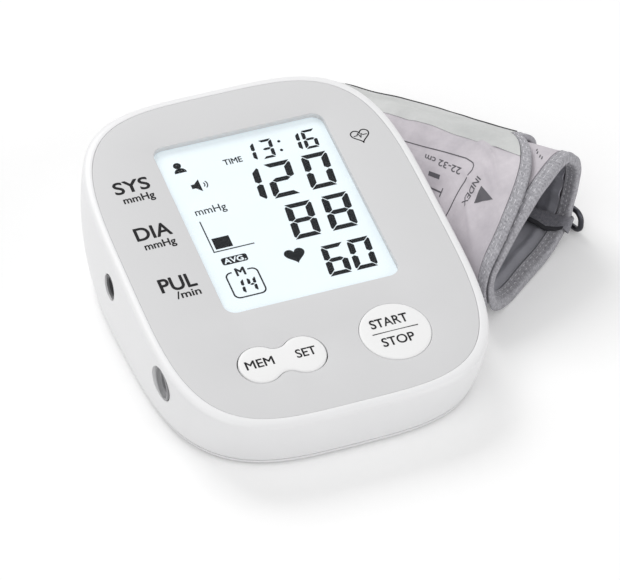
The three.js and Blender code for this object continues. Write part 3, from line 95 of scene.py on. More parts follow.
# Each layer's two faces, as distances out from the cuff's skin
FLAP_INNER, FLAP_OUTER = 0.5, 2.3
FLAP_TAPE_OUTER = FLAP_OUTER + 0.3
TAPE_INNER, TAPE_OUTER = -3.6, 0.2
CLOTH_INNER, CLOTH_OUTER = -0.9, 0
BAG_INNER, BAG_OUTER = -2.0, -1.2
LINING_INNER, LINING_OUTER = -3.2, -2.3
HOOK_INNER, HOOK_OUTER = -4.8, -3.8
# Where each lies: from and to in steps round, and its front and back along the cuff
FLAP_FROM, FLAP_TO, FLAP_CREST = 13, 32, 20
CREST_SET_BACK, FOOT_SET_BACK, FLAP_SWEEP = 21, 1.2, 4
FRONT, BACK = BINDING + GAP, CUFF_WIDTH - BINDING - GAP
BAG_FROM, BAG_TO, BAG_FRONT, BAG_BACK = 14, 31, 16, 104
HOOK_FROM, HOOK_TO, HOOK_FRONT, HOOK_BACK = 6, 11, 14, 70
PORT_FROM, PORT_TO, PORT_FRONT, PORT_BACK = 10, 12, 88, 100


def tone(red, green, blue):
    """The colour that a screen shows as these three levels of 255."""
    def linear(level):
        share = level / 255
        return share / 12.92 if share <= 0.04045 else ((share + 0.055) / 1.055) ** 2.4
    return (linear(red), linear(green), linear(blue), 1)


class Signal:
    """An output of a material's node, with arithmetic that adds Math nodes."""

    def __init__(self, paint, socket):
        self.paint = paint
        self.socket = socket

    def math(self, operation, *others):
        inputs = dict(enumerate((self, *others)))
        return self.paint.node("ShaderNodeMath", {"operation": operation}, inputs)

    def turned_math(self, operation, other):
        return self.paint.node("ShaderNodeMath", {"operation": operation}, {0: other, 1: self})

    def __add__(self, other):
        return self.math("ADD", other)

    def __radd__(self, other):
        return self.turned_math("ADD", other)

    def __sub__(self, other):
        return self.math("SUBTRACT", other)

    def __rsub__(self, other):
        return self.turned_math("SUBTRACT", other)

    def __mul__(self, other):
        return self.math("MULTIPLY", other)

    def __rmul__(self, other):
        return self.turned_math("MULTIPLY", other)

    def sine(self):
        return self.math("SINE")

    def most(self, other):
        return self.math("MAXIMUM", other)


class Paint:
    """A material whose surface is worked out by nodes."""

    def __init__(self, name):
        self.material = bpy.data.materials.new(name)
        self.material.use_nodes = True
        self.tree = self.material.node_tree
        self.tree.nodes.clear()

    def node(self, kind, settings=None, sockets=None, out=0):
        """Adds a node: its settings first, then its sockets' values or links."""
        made = self.tree.nodes.new(kind)
        for key, value in (settings or {}).items():
            if key == "stops":
                self.set_stops(made.color_ramp, value)
            else:
                setattr(made, key, value)
        for key, value in (sockets or {}).items():
            if isinstance(value, Signal):
                self.tree.links.new(value.socket, made.inputs[key])
            else:
                made.inputs[key].default_value = value
        return Signal(self, made.outputs[out]) if made.outputs else made

    @staticmethod
    def set_stops(ramp, stops):
        while len(ramp.elements) < len(stops):
            ramp.elements.new(0.5)
        for element, (place, colour) in zip(ramp.elements, stops):
            element.position = place
            element.color = colour

    def seen(self):
        """1 where the eye looks, also by way of gloss or glass, and 0 where only light arrives."""
        eye, gloss, glass = (self.node("ShaderNodeLightPath", out=f"Is {way} Ray")
                             for way in ("Camera", "Glossy", "Transmission"))
        return eye.most(gloss).most(glass)

    def place(self):
        """The piece's own coordinates, in metres."""
        return self.node("ShaderNodeTexCoord", out=3)

    def along_cloth(self):
        """Distances round and along the cloth, in millimetres, from its UV map."""
        uv = self.node("ShaderNodeTexCoord", out=2)
        return [self.node("ShaderNodeSeparateXYZ", None, {0: uv}, out) for out in (0, 1)]

    def grain(self, scale, detail=2, roughness=0.5, place=None):
        """Noise from 0 to 1, with this many grains to a metre."""
        return self.node("ShaderNodeTexNoise", None, {
            "Vector": place or self.place(), "Scale": scale,
            "Detail": detail, "Roughness": roughness,
        })

    def blend(self, share, first, second):
        """A colour between two, by a share from 0 to 1."""
        return self.node("ShaderNodeMix", {"data_type": "RGBA"}, {0: share, 6: first, 7: second}, 2)

    def bumps(self, height, distance, strength, over=None):
        """Bumps on the surface, or over bumps already made."""
        sockets = {"Height": height, "Distance": distance, "Strength": strength}
        if over is not None:
            sockets["Normal"] = over
        return self.node("ShaderNodeBump", None, sockets)

    def surface(self, **sockets):
        """Ends the material in one shader; a socket's words are joined by _."""
        named = {key.replace("_", " "): value for key, value in sockets.items()}
        shader = self.node("ShaderNodeBsdfPrincipled", None, named)
        self.node("ShaderNodeOutputMaterial", None, {"Surface": shader})
        return self.material


class Surroundings(Paint):
    """The light from all round, worked out by nodes."""

    def __init__(self, name):
        self.world = bpy.data.worlds.new(name)
        self.world.use_nodes = True
        self.tree = self.world.node_tree
        self.tree.nodes.clear()


def moulded(name, colour, roughness, texture=0.00002, coat=0.0, shade=0.03):
    """Moulded plastic with a faint spark-eroded grain and slightly uneven gloss."""
    paint = Paint(name)
    clouds = paint.grain(60, 3)
    fine = paint.grain(2600, 2)
    darker = tuple(c * (1 - shade) for c in colour[:3]) + (1,)
    return paint.surface(
        Base_Color=paint.blend(clouds, darker, colour),
        Roughness=roughness - 0.05 + clouds * 0.06 + fine * 0.05,
        Coat_Weight=coat,
        Normal=paint.bumps(fine, texture, 0.35),
    )


def metal(name, colour, roughness):
    """Drawn or rolled metal with fine lines and a few dull patches."""
    paint = Paint(name)
    stretch = paint.node("ShaderNodeMapping", None, {0: paint.place(), "Scale": (1, 0.05, 1)})
    lines = paint.grain(2200, 2, place=stretch)
    patches = paint.grain(140, 3)
    darker = tuple(c * 0.72 for c in colour[:3]) + (1,)
    return paint.surface(
        Base_Color=paint.blend(patches, darker, colour),
        Metallic=1.0,
        Roughness=roughness + lines * 0.12 + patches * 0.08,
        Normal=paint.bumps(lines, 0.00001, 0.3),
    )


def rubber(name, colour, roughness=0.75):
    """Soft rubber, matt and a little dusty."""
    paint = Paint(name)
    dust = paint.grain(350, 4, 0.6)
    paler = tuple(min(1, c * 1.25 + 0.01) for c in colour[:3]) + (1,)
    return paint.surface(
        Base_Color=paint.blend(dust, colour, paler),
        Roughness=roughness + dust * 0.15,
        Normal=paint.bumps(dust, 0.00004, 0.4),
    )


# Distances from thread to thread, rib to rib and hook to hook, in millimetres
THREAD_PITCH, RIB_PITCH, BROAD_RIB_PITCH, HOOK_PITCH = 0.5, 0.62, 0.8, (1.5, 1.3)


def woven(name, colour, deep, crumple=0.0006, sheen=0.0):
    """Plain woven nylon: threads over and under, with creases and handling marks."""
    paint = Paint(name)
    round_way, along = paint.along_cloth()
    turn = math.tau / THREAD_PITCH
    threads = ((round_way * turn).sine() * (along * turn).sine()) * 0.5 + 0.5
    marks = paint.grain(55, 4, 0.62)
    specks = paint.grain(900, 3, 0.6)
    creases = paint.grain(46, 5, 0.5)
    share = (marks - 0.5) * 1.5 + 0.3 + threads * 0.2 + specks * 0.2
    weave = paint.bumps(threads, 0.00007, 0.5, over=paint.bumps(creases, crumple, 0.6))
    return paint.surface(
        Base_Color=paint.blend(share, deep, colour),
        Roughness=0.86 - threads * 0.1,
        Sheen_Weight=sheen,
        Normal=weave,
    )


def ribbed_tape(name, colour, deep, pitch):
    """Ribbed grosgrain tape: fine ribs across it, fuzz and pale flecks."""
    paint = Paint(name)
    round_way = paint.along_cloth()[0]
    ribs = (round_way * (math.tau / pitch)).sine() * 0.5 + 0.5
    fuzz = paint.grain(1100, 4, 0.7)
    marks = paint.grain(160, 3)
    share = (ribs * 0.14 + (fuzz - 0.5) * 1.7 + marks * 0.3 + 0.3).most(0.0)
    return paint.surface(
        Base_Color=paint.blend(share, deep, colour),
        Roughness=0.8 + fuzz * 0.12,
        Normal=paint.bumps(ribs * 0.4 + fuzz * 0.6, 0.00016, 0.6),
    )


def hooked(name, colour):
    """Hook tape: rows of small stiff hooks."""
    paint = Paint(name)
    round_way, along = paint.along_cloth()
    rows, columns = (way * (math.tau / pitch) for way, pitch in zip((round_way, along), HOOK_PITCH))
    hooks = (rows.sine() * columns.sine()).most(0.0)
    darker = tuple(c * 0.6 for c in colour[:3]) + (1,)
    return paint.surface(
        Base_Color=paint.blend(hooks, darker, colour),
        Roughness=0.6,
        Normal=paint.bumps(hooks, 0.0004, 0.8),
    )


def printed(name, colour, roughness=0.45, uneven=0.02, gloss=0.5):
    """Screen-printed ink, slightly uneven in cover."""
    paint = Paint(name)
    cover = paint.grain(900, 3, 0.6)
    thin = tuple(c + uneven for c in colour[:3]) + (1,)
    return paint.surface(
        Base_Color=paint.blend(cover, colour, thin),
        Roughness=roughness,
        Specular_IOR_Level=gloss,
    )


def lit_display():
    """The lit display glass, an even pale blue white."""
    paint = Paint("lit display glass")
    even = paint.grain(25, 2)
    colour = paint.blend(even, tone(236, 247, 252), tone(241, 251, 255))
    return paint.surface(
        Base_Color=colour, Roughness=0.25, Emission_Color=colour, Emission_Strength=0.22)


def clear_window():
    """The clear moulded window: almost nothing but a faint gloss."""
    paint = Paint("clear window")
    haze = paint.grain(90, 3)
    return paint.surface(
        Base_Color=tone(120, 126, 130),
        Roughness=0.04 + haze * 0.03,
        Alpha=0.025 + haze * 0.02,
    )


PAINTS = {
    "case": moulded("white case plastic", tone(243, 243, 244), 0.36, coat=0.08),
    "panel": moulded("grey face panel", tone(217, 217, 218), 0.5, 0.00003),
    "key": moulded("white key plastic", tone(246, 246, 246), 0.42),
    "window": clear_window(),
    "display": lit_display(),
    "segment": printed("display segments", tone(16, 18, 22), 0.6, 0.004, 0.1),
    "ink": printed("dark printed ink", tone(24, 24, 26), 0.6, 0.008, 0.15),
    "socket": moulded("grey socket plastic", tone(150, 150, 152), 0.4),
    "jack": moulded("dark grey jack plastic", tone(84, 84, 86), 0.45),
    "tray": moulded("milky light tray", tone(238, 240, 240), 0.45),
    "strip": rubber("striped contact rubber", tone(120, 122, 126)),
    "dome": rubber("milky dome rubber", tone(196, 200, 204), 0.6),
    "board": moulded("green board lacquer", tone(30, 104, 58), 0.35, coat=0.3, shade=0.15),
    "black": moulded("black moulding", tone(32, 32, 34), 0.5),
    "steel": metal("zinc plated steel", tone(186, 187, 190), 0.28),
    "cell": metal("wrapped cell", tone(96, 104, 118), 0.35),
    "contact": metal("nickel plated spring steel", tone(205, 205, 200), 0.2),
    "pump": moulded("dark pump plastic", tone(48, 48, 51), 0.45),
    "pump_rubber": rubber("black pump rubber", tone(30, 30, 31)),
    "tube": rubber("milky tube rubber", tone(214, 213, 206), 0.5),
    "foot": rubber("grey foot rubber", tone(112, 112, 114)),
    "cloth": woven("grey cuff nylon", tone(226, 220, 225), tone(178, 173, 180), 0.0016, 0.1),
    "band": woven("pale edge band", tone(222, 223, 222), tone(188, 190, 189), 0.0014, 0.1),
    "lining": woven("dark cuff lining", tone(190, 190, 196), tone(148, 148, 156)),
    "tape": ribbed_tape("grey binding tape", tone(200, 199, 204), tone(116, 115, 121), RIB_PITCH),
    "webbing": ribbed_tape("dark webbing", tone(150, 149, 155), tone(104, 104, 111),
                           BROAD_RIB_PITCH),
    # The dark piping paint also colours the painted shadow strip along the strap's lower edge
    "piping": rubber("dark piping", tone(52, 52, 56), 0.8),
    "bag": rubber("black air bag rubber", tone(56, 56, 60)),
    "hook": hooked("grey hook tape", tone(128, 128, 134)),
    "thread": rubber("pale sewing thread", tone(228, 227, 231), 0.7),
    "ring": metal("dark plated wire", tone(78, 78, 84), 0.22),
    "cuff_ink": printed("grey cuff print", tone(84, 82, 88), 0.7),
    "port": moulded("dark port plastic", tone(70, 70, 75), 0.5),
}
# The paint of each of the part's material slots
SLOT_PAINTS = {
    "case_white": "case", "panel_grey": "panel", "clear_window": "window",
    "display_glass": "display", "backlight_white": "tray", "contact_rubber": "strip",
    "key_white": "key", "dome_rubber": "dome", "board_green": "board", "part_black": "black",
    "screw_steel": "steel", "cell_wrap": "cell", "contact_plate": "contact",
    "socket_grey": "socket", "jack_black": "jack", "pump_plastic": "pump",
    "pump_rubber": "pump_rubber", "pump_steel": "steel", "tube_rubber": "tube",
    "foot_rubber": "foot", "cuff_cloth": "cloth", "lining_cloth": "lining",
    "binding_tape": "tape", "bladder_rubber": "bag", "hook_tape": "hook",
    "ring_metal": "ring", "port_plastic": "port",
}
for entry in frame["record"]["subparts"]:
    solid = frame["nodes"][entry["node"]]
    solid.data.materials.clear()
    solid.data.materials.append(PAINTS[SLOT_PAINTS[entry["material_slot"]]])


def in_scene(name, data):
    """An object that shows a mesh, curve, lamp or camera."""
    made = bpy.data.objects.new(name, data)
    bpy.context.scene.collection.objects.link(made)
    return made


def as_data(name, mesh):
    """Turns a worked mesh into one that an object can hold."""
    data = bpy.data.meshes.new(name)
    mesh.to_mesh(data)
    mesh.free()
    return data


def first_row(mesh, points, closed=True):
    """A row of joined vertices to grow a surface from."""
    row = [mesh.verts.new(point) for point in points]
    ends = row[1:] + (row[:1] if closed else [])
    for a, b in zip(row, ends):
        mesh.edges.new((a, b))
    return row


def grow(mesh, row, points):
    """Extrudes a closed row to new places and gives the new row."""
    edges = [mesh.edges.get((a, b)) for a, b in zip(row, row[1:] + row[:1])]
    made = bmesh.ops.extrude_edge_only(mesh, edges=edges)["geom"]
    fresh = {part for part in made if isinstance(part, bmesh.types.BMVert)}
    new_row = []
    for old, point in zip(row, points):
        new = next(e.other_vert(old) for e in old.link_edges if e.other_vert(old) in fresh)
        new.co = point
        new_row.append(new)
    return new_row


def next_row(mesh, row, points):
    """Starts a surface with a closed row, or grows it on from its last row."""
    return first_row(mesh, points) if row is None else grow(mesh, row, points)


def lay_cloth_map(mesh, marks):
    """Gives a mesh the UV map that weaves and ribs follow, from each vertex's place on it."""
    layer = mesh.loops.layers.uv.new("Cloth")
    for face in mesh.faces:
        for loop in face.loops:
            loop[layer].uv = marks[loop.vert]


def fill(mesh, rows):
    """Covers the flat space between closed rows."""
    edges = []
    for row in rows:
        edges += [mesh.edges.get((a, b)) for a, b in zip(row, row[1:] + row[:1])]
    bmesh.ops.triangle_fill(mesh, use_beauty=True, edges=edges, normal=UP)


def finish_piece(name, mesh, paint, body="monitor", stands_for=(), crisp=35.0, at=None):
    """Brings a mesh to metres and its place, paints it and lets it ride on a body."""
    if at is not None:
        bmesh.ops.transform(mesh, matrix=at, verts=mesh.verts)
    bmesh.ops.scale(mesh, vec=(MM, MM, MM), verts=mesh.verts)
    data = as_data(name, mesh)
    data.shade_smooth()
    data.set_sharp_from_angle(angle=math.radians(crisp))
    data.materials.append(PAINTS[paint])
    made = in_scene(name, data)
    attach(made, body)
    if stands_for:
        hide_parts(*stands_for)
    return made


def close_up(mesh):
    """Merges doubles and turns every face outwards."""
    bmesh.ops.remove_doubles(mesh, verts=mesh.verts, dist=0.0005)
    bmesh.ops.recalc_face_normals(mesh, faces=mesh.faces)


def superellipse(half_width, half_length, exponent):
    """An oval that is nearly a rounded rectangle."""
    def power(value):
        return math.copysign(abs(value) ** (2 / exponent), value)
    angles = [math.tau * i / CASE_SIDES for i in range(CASE_SIDES)]
    return [(half_width * power(math.cos(a)), half_length * power(math.sin(a))) for a in angles]


def panel_outline(margin):
    """The face's outline, grown by a margin."""
    return superellipse(PANEL_HALF_WIDTH + margin, PANEL_HALF_LENGTH + margin, PANEL_EXPONENT)


def arc(middle_x, middle_y, radius, start, end, steps):
    """Points on an arc, its last point left to the next one."""
    angles = [start + (end - start) * i / steps for i in range(steps)]
    return [(middle_x + radius * math.cos(a), middle_y + radius * math.sin(a)) for a in angles]


def rounded_box(left, right, bottom, top, corner, steps=14):
    """A box with rounded corners, from the middle of its right end up and round."""
    quarter = math.pi / 2
    points = []
    for number, (x, y, end) in enumerate((
        (right - corner, top - corner, (right - corner, top)),
        (left + corner, top - corner, (left, top - corner)),
        (left + corner, bottom + corner, (left + corner, bottom)),
        (right - corner, bottom + corner, (right, bottom + corner)),
    )):
        start = quarter * number
        points += [*arc(x, y, corner, start, start + quarter, steps), end]
    return points


def rocker_top_outline(margin):
    """The rocker's own outline, wider at its sides, where it doesn't move sideways."""
    broad = 1 + (KEY_GAP - ROCKER_SIDE_SEAM) / LOBE_RADIUS
    return [(u, ROCKER_V + (v - ROCKER_V) * broad) for u, v in rocker_outline(margin)]


def rocker_outline(margin):
    """Two round lobes joined by a waist, grown by a margin."""
    steps = 26
    lobe, waist = LOBE_RADIUS + margin, WAIST + margin
    hollow = (LOBE_REACH ** 2 + waist ** 2 - lobe ** 2) / (2 * (lobe - waist))
    height = waist + hollow
    meet = math.atan2(height, LOBE_REACH)
    u, v = ROCKER_U, ROCKER_V
    return (
        arc(u + LOBE_REACH, v, lobe, meet - math.pi, math.pi - meet, 2 * steps)
        + arc(u, v + height, hollow, -meet, meet - math.pi, steps // 2)
        + arc(u - LOBE_REACH, v, lobe, meet, math.tau - meet, 2 * steps)
        + arc(u, v - height, hollow, math.pi - meet, meet, steps // 2)
    )


def circle(u, v, radius, sides=120):
    """Points round a circle."""
    return arc(u, v, radius, 0, math.tau, sides)


def raised(points, height):
    """Flat points lifted to a height."""
    return [Vector((x, y, height)) for x, y in points]


def edged_plate(outlines, top, bottom, soft):
    """A flat plate with softened top edges. Each outline takes how far into the plate it lies."""
    mesh = bmesh.new()
    steps = 4
    rows = [first_row(mesh, raised(outline(soft), top)) for outline in outlines]
    fill(mesh, rows)
    for step in range(1, steps + 1):
        turn = math.pi / 2 * step / steps
        inset = soft * (1 - math.sin(turn))
        level = top - soft * (1 - math.cos(turn))
        rows = [grow(mesh, row, raised(outline(inset), level))
                for row, outline in zip(rows, outlines)]
    rows = [grow(mesh, row, raised(outline(0), bottom)) for row, outline in zip(rows, outlines)]
    fill(mesh, rows)
    close_up(mesh)
    return mesh


def face_ring(spread, depth):
    """One ring round the sloping face, this far out from the panel and down."""
    return [ON_FACE @ Vector((u, v, -depth)) for u, v in panel_outline(spread)]


def foot_ring(inset, height):
    """One level ring round the case's foot."""
    outline = superellipse(FOOT_HALF_WIDTH - inset, FOOT_HALF_LENGTH - inset, FOOT_EXPONENT)
    return [Vector((x, y + FOOT_MIDDLE_Y, height)) for x, y in outline]


def wall_ring(inset, bottom, shoulder, share):
    """One ring up the side wall, which bulges most where it is tallest."""
    ring = []
    for low, high in zip(foot_ring(inset, bottom), face_ring(RIM_OUT - inset, shoulder)):
        outward = Vector((low.x / FOOT_HALF_WIDTH ** 2, low.y / FOOT_HALF_LENGTH ** 2, 0))
        outward.normalize()
        swell = BULGE_DEPTH * ((high.z - low.z) / BULGE_AT) ** 2 * 4 * share * (1 - share)
        ring.append(low.lerp(high, share) + outward * swell)
    return ring


def side_hole(radius, x, y, z, depth):
    """A plug along X that a hole is cut with."""
    mesh = bmesh.new()
    bmesh.ops.create_cone(mesh, cap_ends=True, segments=64, depth=depth,
                          radius1=radius, radius2=radius)
    bmesh.ops.rotate(mesh, verts=mesh.verts, matrix=Matrix.Rotation(math.pi / 2, 3, "Y"))
    bmesh.ops.translate(mesh, verts=mesh.verts, vec=(x, y, z))
    return in_scene("hole_cutter", as_data("hole cutter", mesh))


def cut_holes(mesh, cutters):
    """Cuts the plugs out of a mesh and gives the cut mesh."""
    uncut = in_scene("uncut", as_data("uncut", mesh))
    for cutter in cutters:
        difference = uncut.modifiers.new("hole", "BOOLEAN")
        difference.operation = "DIFFERENCE"
        difference.solver = "EXACT"
        difference.object = cutter
    ready = uncut.evaluated_get(bpy.context.evaluated_depsgraph_get())
    after = bmesh.new()
    after.from_mesh(ready.to_mesh())
    ready.to_mesh_clear()
    for used in (uncut, *cutters):
        used_data = used.data
        bpy.data.objects.remove(used)
        bpy.data.meshes.remove(used_data)
    return after


def case_shell():
    """The upper case: side wall, rounded rim and the recess that the panel lies in."""
    mesh = bmesh.new()
    wall_levels, rim_levels, lining_levels = 14, 8, 6
    low = PARTING_HEIGHT + GAP
    row = None
    for level in range(wall_levels + 1):
        row = next_row(mesh, row, wall_ring(0, low, RIM_DROP, level / wall_levels))
    for level in range(1, rim_levels + 1):
        turn = math.pi / 2 * (1 - level / rim_levels)
        spread = RIM_FLAT + (RIM_OUT - RIM_FLAT) * math.sin(turn)
        row = grow(mesh, row, face_ring(spread, RIM_DROP * (1 - math.cos(turn))))
    for spread, depth in ((0, RIM_GUTTER), (0, -PLATE_TOP), (-LEDGE_WIDTH, -PLATE_TOP),
                          (-LEDGE_WIDTH, -PLATE_BOTTOM)):
        row = grow(mesh, row, face_ring(spread, depth))
    for level in range(lining_levels, -1, -1):
        row = grow(mesh, row, wall_ring(CASE_WALL, low, -PLATE_BOTTOM, level / lining_levels))
    grow(mesh, row, wall_ring(0, low, RIM_DROP, 0))
    close_up(mesh)
    mesh = cut_holes(mesh, [
        side_hole(AIR_HOLE_RADIUS, AIR_HOLE_X, AIR_Y, AIR_Z, AIR_HOLE_DEPTH),
        side_hole(JACK_HOLE_RADIUS, JACK_HOLE_X, JACK_Y, JACK_Z, JACK_HOLE_DEPTH),
    ])
    return finish_piece("case_shell", mesh, "case", stands_for=["top_cover"])


def face_plate():
    """The grey panel with its window and key openings."""
    mesh = edged_plate(
        [
            lambda inset: panel_outline(-PANEL_SEAM - inset),
            lambda inset: rounded_box(SCREEN_LEFT - inset, SCREEN_RIGHT + inset,
                                      SCREEN_BOTTOM - inset, SCREEN_TOP + inset,
                                      SCREEN_CORNER + inset),
            lambda inset: circle(START_U, START_V, START_RADIUS + KEY_GAP + inset),
            lambda inset: rocker_outline(KEY_GAP + inset),
        ],
        0, -PANEL_THICKNESS, PANEL_SOFT_EDGE,
    )
    return finish_piece("face_plate", mesh, "panel", stands_for=["face_panel"],
                        at=ON_FACE, crisp=30)


def window():
    """The clear window in the panel."""
    mesh = edged_plate(
        [lambda inset: rounded_box(SCREEN_LEFT + GAP + inset, SCREEN_RIGHT - GAP - inset,
                                   SCREEN_BOTTOM + GAP + inset, SCREEN_TOP - GAP - inset,
                                   SCREEN_CORNER - GAP - inset)],
        WINDOW_TOP, WINDOW_BOTTOM, WINDOW_SOFT_EDGE,
    )
    return finish_piece("display_window", mesh, "window", stands_for=["screen_lens"],
                        at=ON_FACE)


def turned(profile, sides):
    """A profile of (radius, height) points turned about +Z."""
    mesh = bmesh.new()
    row = first_row(mesh, [Vector((r, 0, h)) for r, h in profile], closed=False)
    edges = [mesh.edges.get((a, b)) for a, b in zip(row, row[1:])]
    bmesh.ops.spin(mesh, geom=row + edges, cent=(0, 0, 0), axis=UP, dvec=(0, 0, 0),
                   angle=math.tau, steps=sides, use_merge=True, use_duplicate=False)
    close_up(mesh)
    return mesh


# The start key's dome above its edge, its skirt's depth and its flange, and both keys' walls
DOME_TOP, DOME_FALL, DOME_STEPS = 0.2, 0.25, 12
SKIRT_FOOT, FLANGE_FOOT, FLANGE_OUT = -4.2, -5.2, 1.2
KEY_WALL, KEY_UNDERSIDE = 1.8, -1.5
# The rocker's top from its flat middle to its foot, as (in from its outline, up from its top)
ROCKER_PROFILE = [(2.6, 0.09), (1.6, 0.05), (0.8, 0), (0.45, -0.04), (0.2, -0.14),
                  (0.05, -0.3), (0, -0.5), (0, -3.9)]
ROCKER_FOOT = -3.9


def start_key():
    """The round start and stop key, gently domed."""
    edge = START_RADIUS + KEY_GAP - START_SEAM
    dome = [(edge * k / DOME_STEPS, KEY_PROUD + DOME_TOP - DOME_FALL * (k / DOME_STEPS) ** 2)
            for k in range(DOME_STEPS)]
    brow = [(edge - 0.5 + 0.5 * math.sin(a), KEY_PROUD - 0.45 + 0.4 * math.cos(a))
            for a in (math.pi / 8 * k for k in range(5))]
    skirt = [(edge, SKIRT_FOOT), (edge + FLANGE_OUT, SKIRT_FOOT), (edge + FLANGE_OUT, FLANGE_FOOT),
             (edge - KEY_WALL, FLANGE_FOOT), (edge - KEY_WALL, KEY_UNDERSIDE), (0, KEY_UNDERSIDE)]
    mesh = turned(dome + brow + skirt, 128)
    at = ON_FACE @ Matrix.Translation((START_U, START_V, 0))
    return finish_piece("start_key", mesh, "key", "start_button", ["start_stop_button"],
                        at=at)


def rocker_key():
    """The rocking key with its two lobes, softened at its edge."""
    mesh = bmesh.new()
    row = first_row(mesh, raised(rocker_top_outline(-3.6), KEY_PROUD + 0.1))
    fill(mesh, [row])
    for inset, level in ROCKER_PROFILE:
        row = grow(mesh, row, raised(rocker_top_outline(-inset), KEY_PROUD + level))
    for level in (ROCKER_FOOT, KEY_UNDERSIDE):
        row = grow(mesh, row, raised(rocker_top_outline(-KEY_WALL), level))
    fill(mesh, [row])
    close_up(mesh)
    return finish_piece("rocker_key", mesh, "key", "memory_set_key", ["memory_set_key"],
                        at=ON_FACE)


ALONG_X = Matrix.Rotation(math.pi / 2, 4, "Y")


def air_socket():
    """The air socket: a lipped sleeve with a tapered bore, let into the left wall."""
    profile = [(0, 9.5), (3.0, 9.5), (3.4, 1.2), (3.6, 1.0), (4.75, 0.9), (4.9, 0.7), (4.95, 0.15),
               (5.1, 0), (5.55, 0), (5.7, 0.15), (5.7, 2), (4.2, 2), (4.2, 11.6), (0, 11.6)]
    mesh = turned(profile, 72)
    at = Matrix.Translation((AIR_FACE, AIR_Y, AIR_Z)) @ ALONG_X
    return finish_piece("air_socket_sleeve", mesh, "socket", stands_for=["air_socket"],
                        at=at)


def power_jack():
    """The round power jack with its centre pin."""
    profile = [(0, 1.6), (0.6, 1.6), (0.9, 2.1), (0.9, 9), (3.2, 9), (3.2, 0.5), (3.5, 0.1),
               (3.7, 0), (4.0, 0), (4.2, 0.2), (4.2, 12), (0, 12)]
    mesh = turned(profile, 72)
    at = Matrix.Translation((JACK_FACE, JACK_Y, JACK_Z)) @ ALONG_X
    return finish_piece("power_jack", mesh, "jack", stands_for=["dc_jack"],
                        at=at)


def add_face(mesh, points, height, thickness):
    """A thin raised shape over a flat outline."""
    corners = [mesh.verts.new(Vector((x, y, height))) for x, y in points]
    flat = mesh.faces.new(corners)
    flat.normal_update()
    if flat.normal.z > 0:
        flat.normal_flip()
    made = bmesh.ops.extrude_face_region(mesh, geom=[flat])["geom"]
    tops = [part for part in made if isinstance(part, bmesh.types.BMVert)]
    bmesh.ops.translate(mesh, verts=tops, vec=(0, 0, thickness))


# How thick printed words are, and how far apart in height the shifted copies that widen them lie
FONT_PRINT = 0.02
COPY_STEP = 0.0007


def add_words(mesh, words, left, right, baseline, top, level, weight=0.16):
    """Lettering between two edges, standing on a baseline, with capitals up to a top line.

    Its weight is how much wider its strokes are made, in millimetres.
    """
    def outline(text):
        curve = bpy.data.curves.new("words", "FONT")
        curve.body = text
        curve.extrude = 1
        curve.resolution_u = 6
        holder = in_scene("words", curve)
        ready = holder.evaluated_get(bpy.context.evaluated_depsgraph_get())
        data = bpy.data.meshes.new_from_object(ready)
        bpy.data.objects.remove(holder)
        bpy.data.curves.remove(curve)
        return data
    capital = outline("H")
    tall = max(v.co.y for v in capital.vertices)
    bpy.data.meshes.remove(capital)
    data = outline(words)
    xs = [v.co.x for v in data.vertices]
    wide = (right - left) / (max(xs) - min(xs))
    high = (top - baseline) / tall
    origin = min(xs)
    for vertex in data.vertices:
        x, y, z = vertex.co
        vertex.co = (left + (x - origin) * wide, baseline + y * high, level + z * FONT_PRINT)
    before = Vector((0, 0, 0))
    for copy, (x, y) in enumerate(circle(0, 0, weight / 2, 6)):
        here = Vector((x, y, copy * COPY_STEP))
        for vertex in data.vertices:
            vertex.co += here - before
        before = here
        mesh.from_mesh(data)
    bpy.data.meshes.remove(data)


# A digit's bars: a at its top, then b to f clockwise round it, and g across its middle
SEGMENTS = {"0": "abcdef", "1": "bc", "2": "abged", "3": "abgcd", "4": "fgbc", "6": "afgedc",
            "8": "abcdefg"}
BAR_GAP, DIGIT_SLANT = 0.22, 0.1


def segment_outline(letter, width, height, stroke):
    """The outline of one of a digit's seven bars. The upright ones are broader."""
    gap, middle, half = BAR_GAP, height / 2, stroke / 2
    broad, shoulder = stroke * 1.34, stroke * 0.3
    if letter == "a":
        return [(gap, height), (width - gap, height), (width - gap - stroke, height - stroke),
                (gap + stroke, height - stroke)]
    if letter == "b":
        return [(width - shoulder, height - gap - shoulder), (width - broad, height - gap - broad),
                (width - broad, middle + half + gap), (width - broad / 2, middle + gap),
                (width, middle + gap + shoulder), (width, height - gap - shoulder * 2)]
    if letter == "g":
        tip, end = broad / 2 + gap, broad + gap
        return [(tip, middle), (end, middle + half), (width - end, middle + half),
                (width - tip, middle), (width - end, middle - half), (end, middle - half)]
    twin = segment_outline("a" if letter == "d" else "b", width, height, stroke)
    if letter in "ef":
        twin = [(width - x, y) for x, y in twin]
    if letter in "cde":
        twin = [(x, height - y) for x, y in twin]
    return twin


# How high the display's signs, their words and the word in the pill lie
DISPLAY_LEVEL, DISPLAY_PRINT = GLASS_TOP + 0.02, 0.05
DISPLAY_WORD_LEVEL, AVERAGE_WORD_LEVEL = DISPLAY_LEVEL + 0.02, DISPLAY_LEVEL + 0.06
# What lies this deep under the window is seen a little further right and up the slope
DISPLAY_SHIFT = (0.82, 1.79)


def add_digit(mesh, digit, left, bottom, width, height, stroke):
    """A slanted digit of the display, out of its bars."""
    for letter in SEGMENTS[digit]:
        outline = segment_outline(letter, width, height, stroke)
        points = [(left + x + y * DIGIT_SLANT, bottom + y) for x, y in outline]
        add_face(mesh, points, DISPLAY_LEVEL, DISPLAY_PRINT)


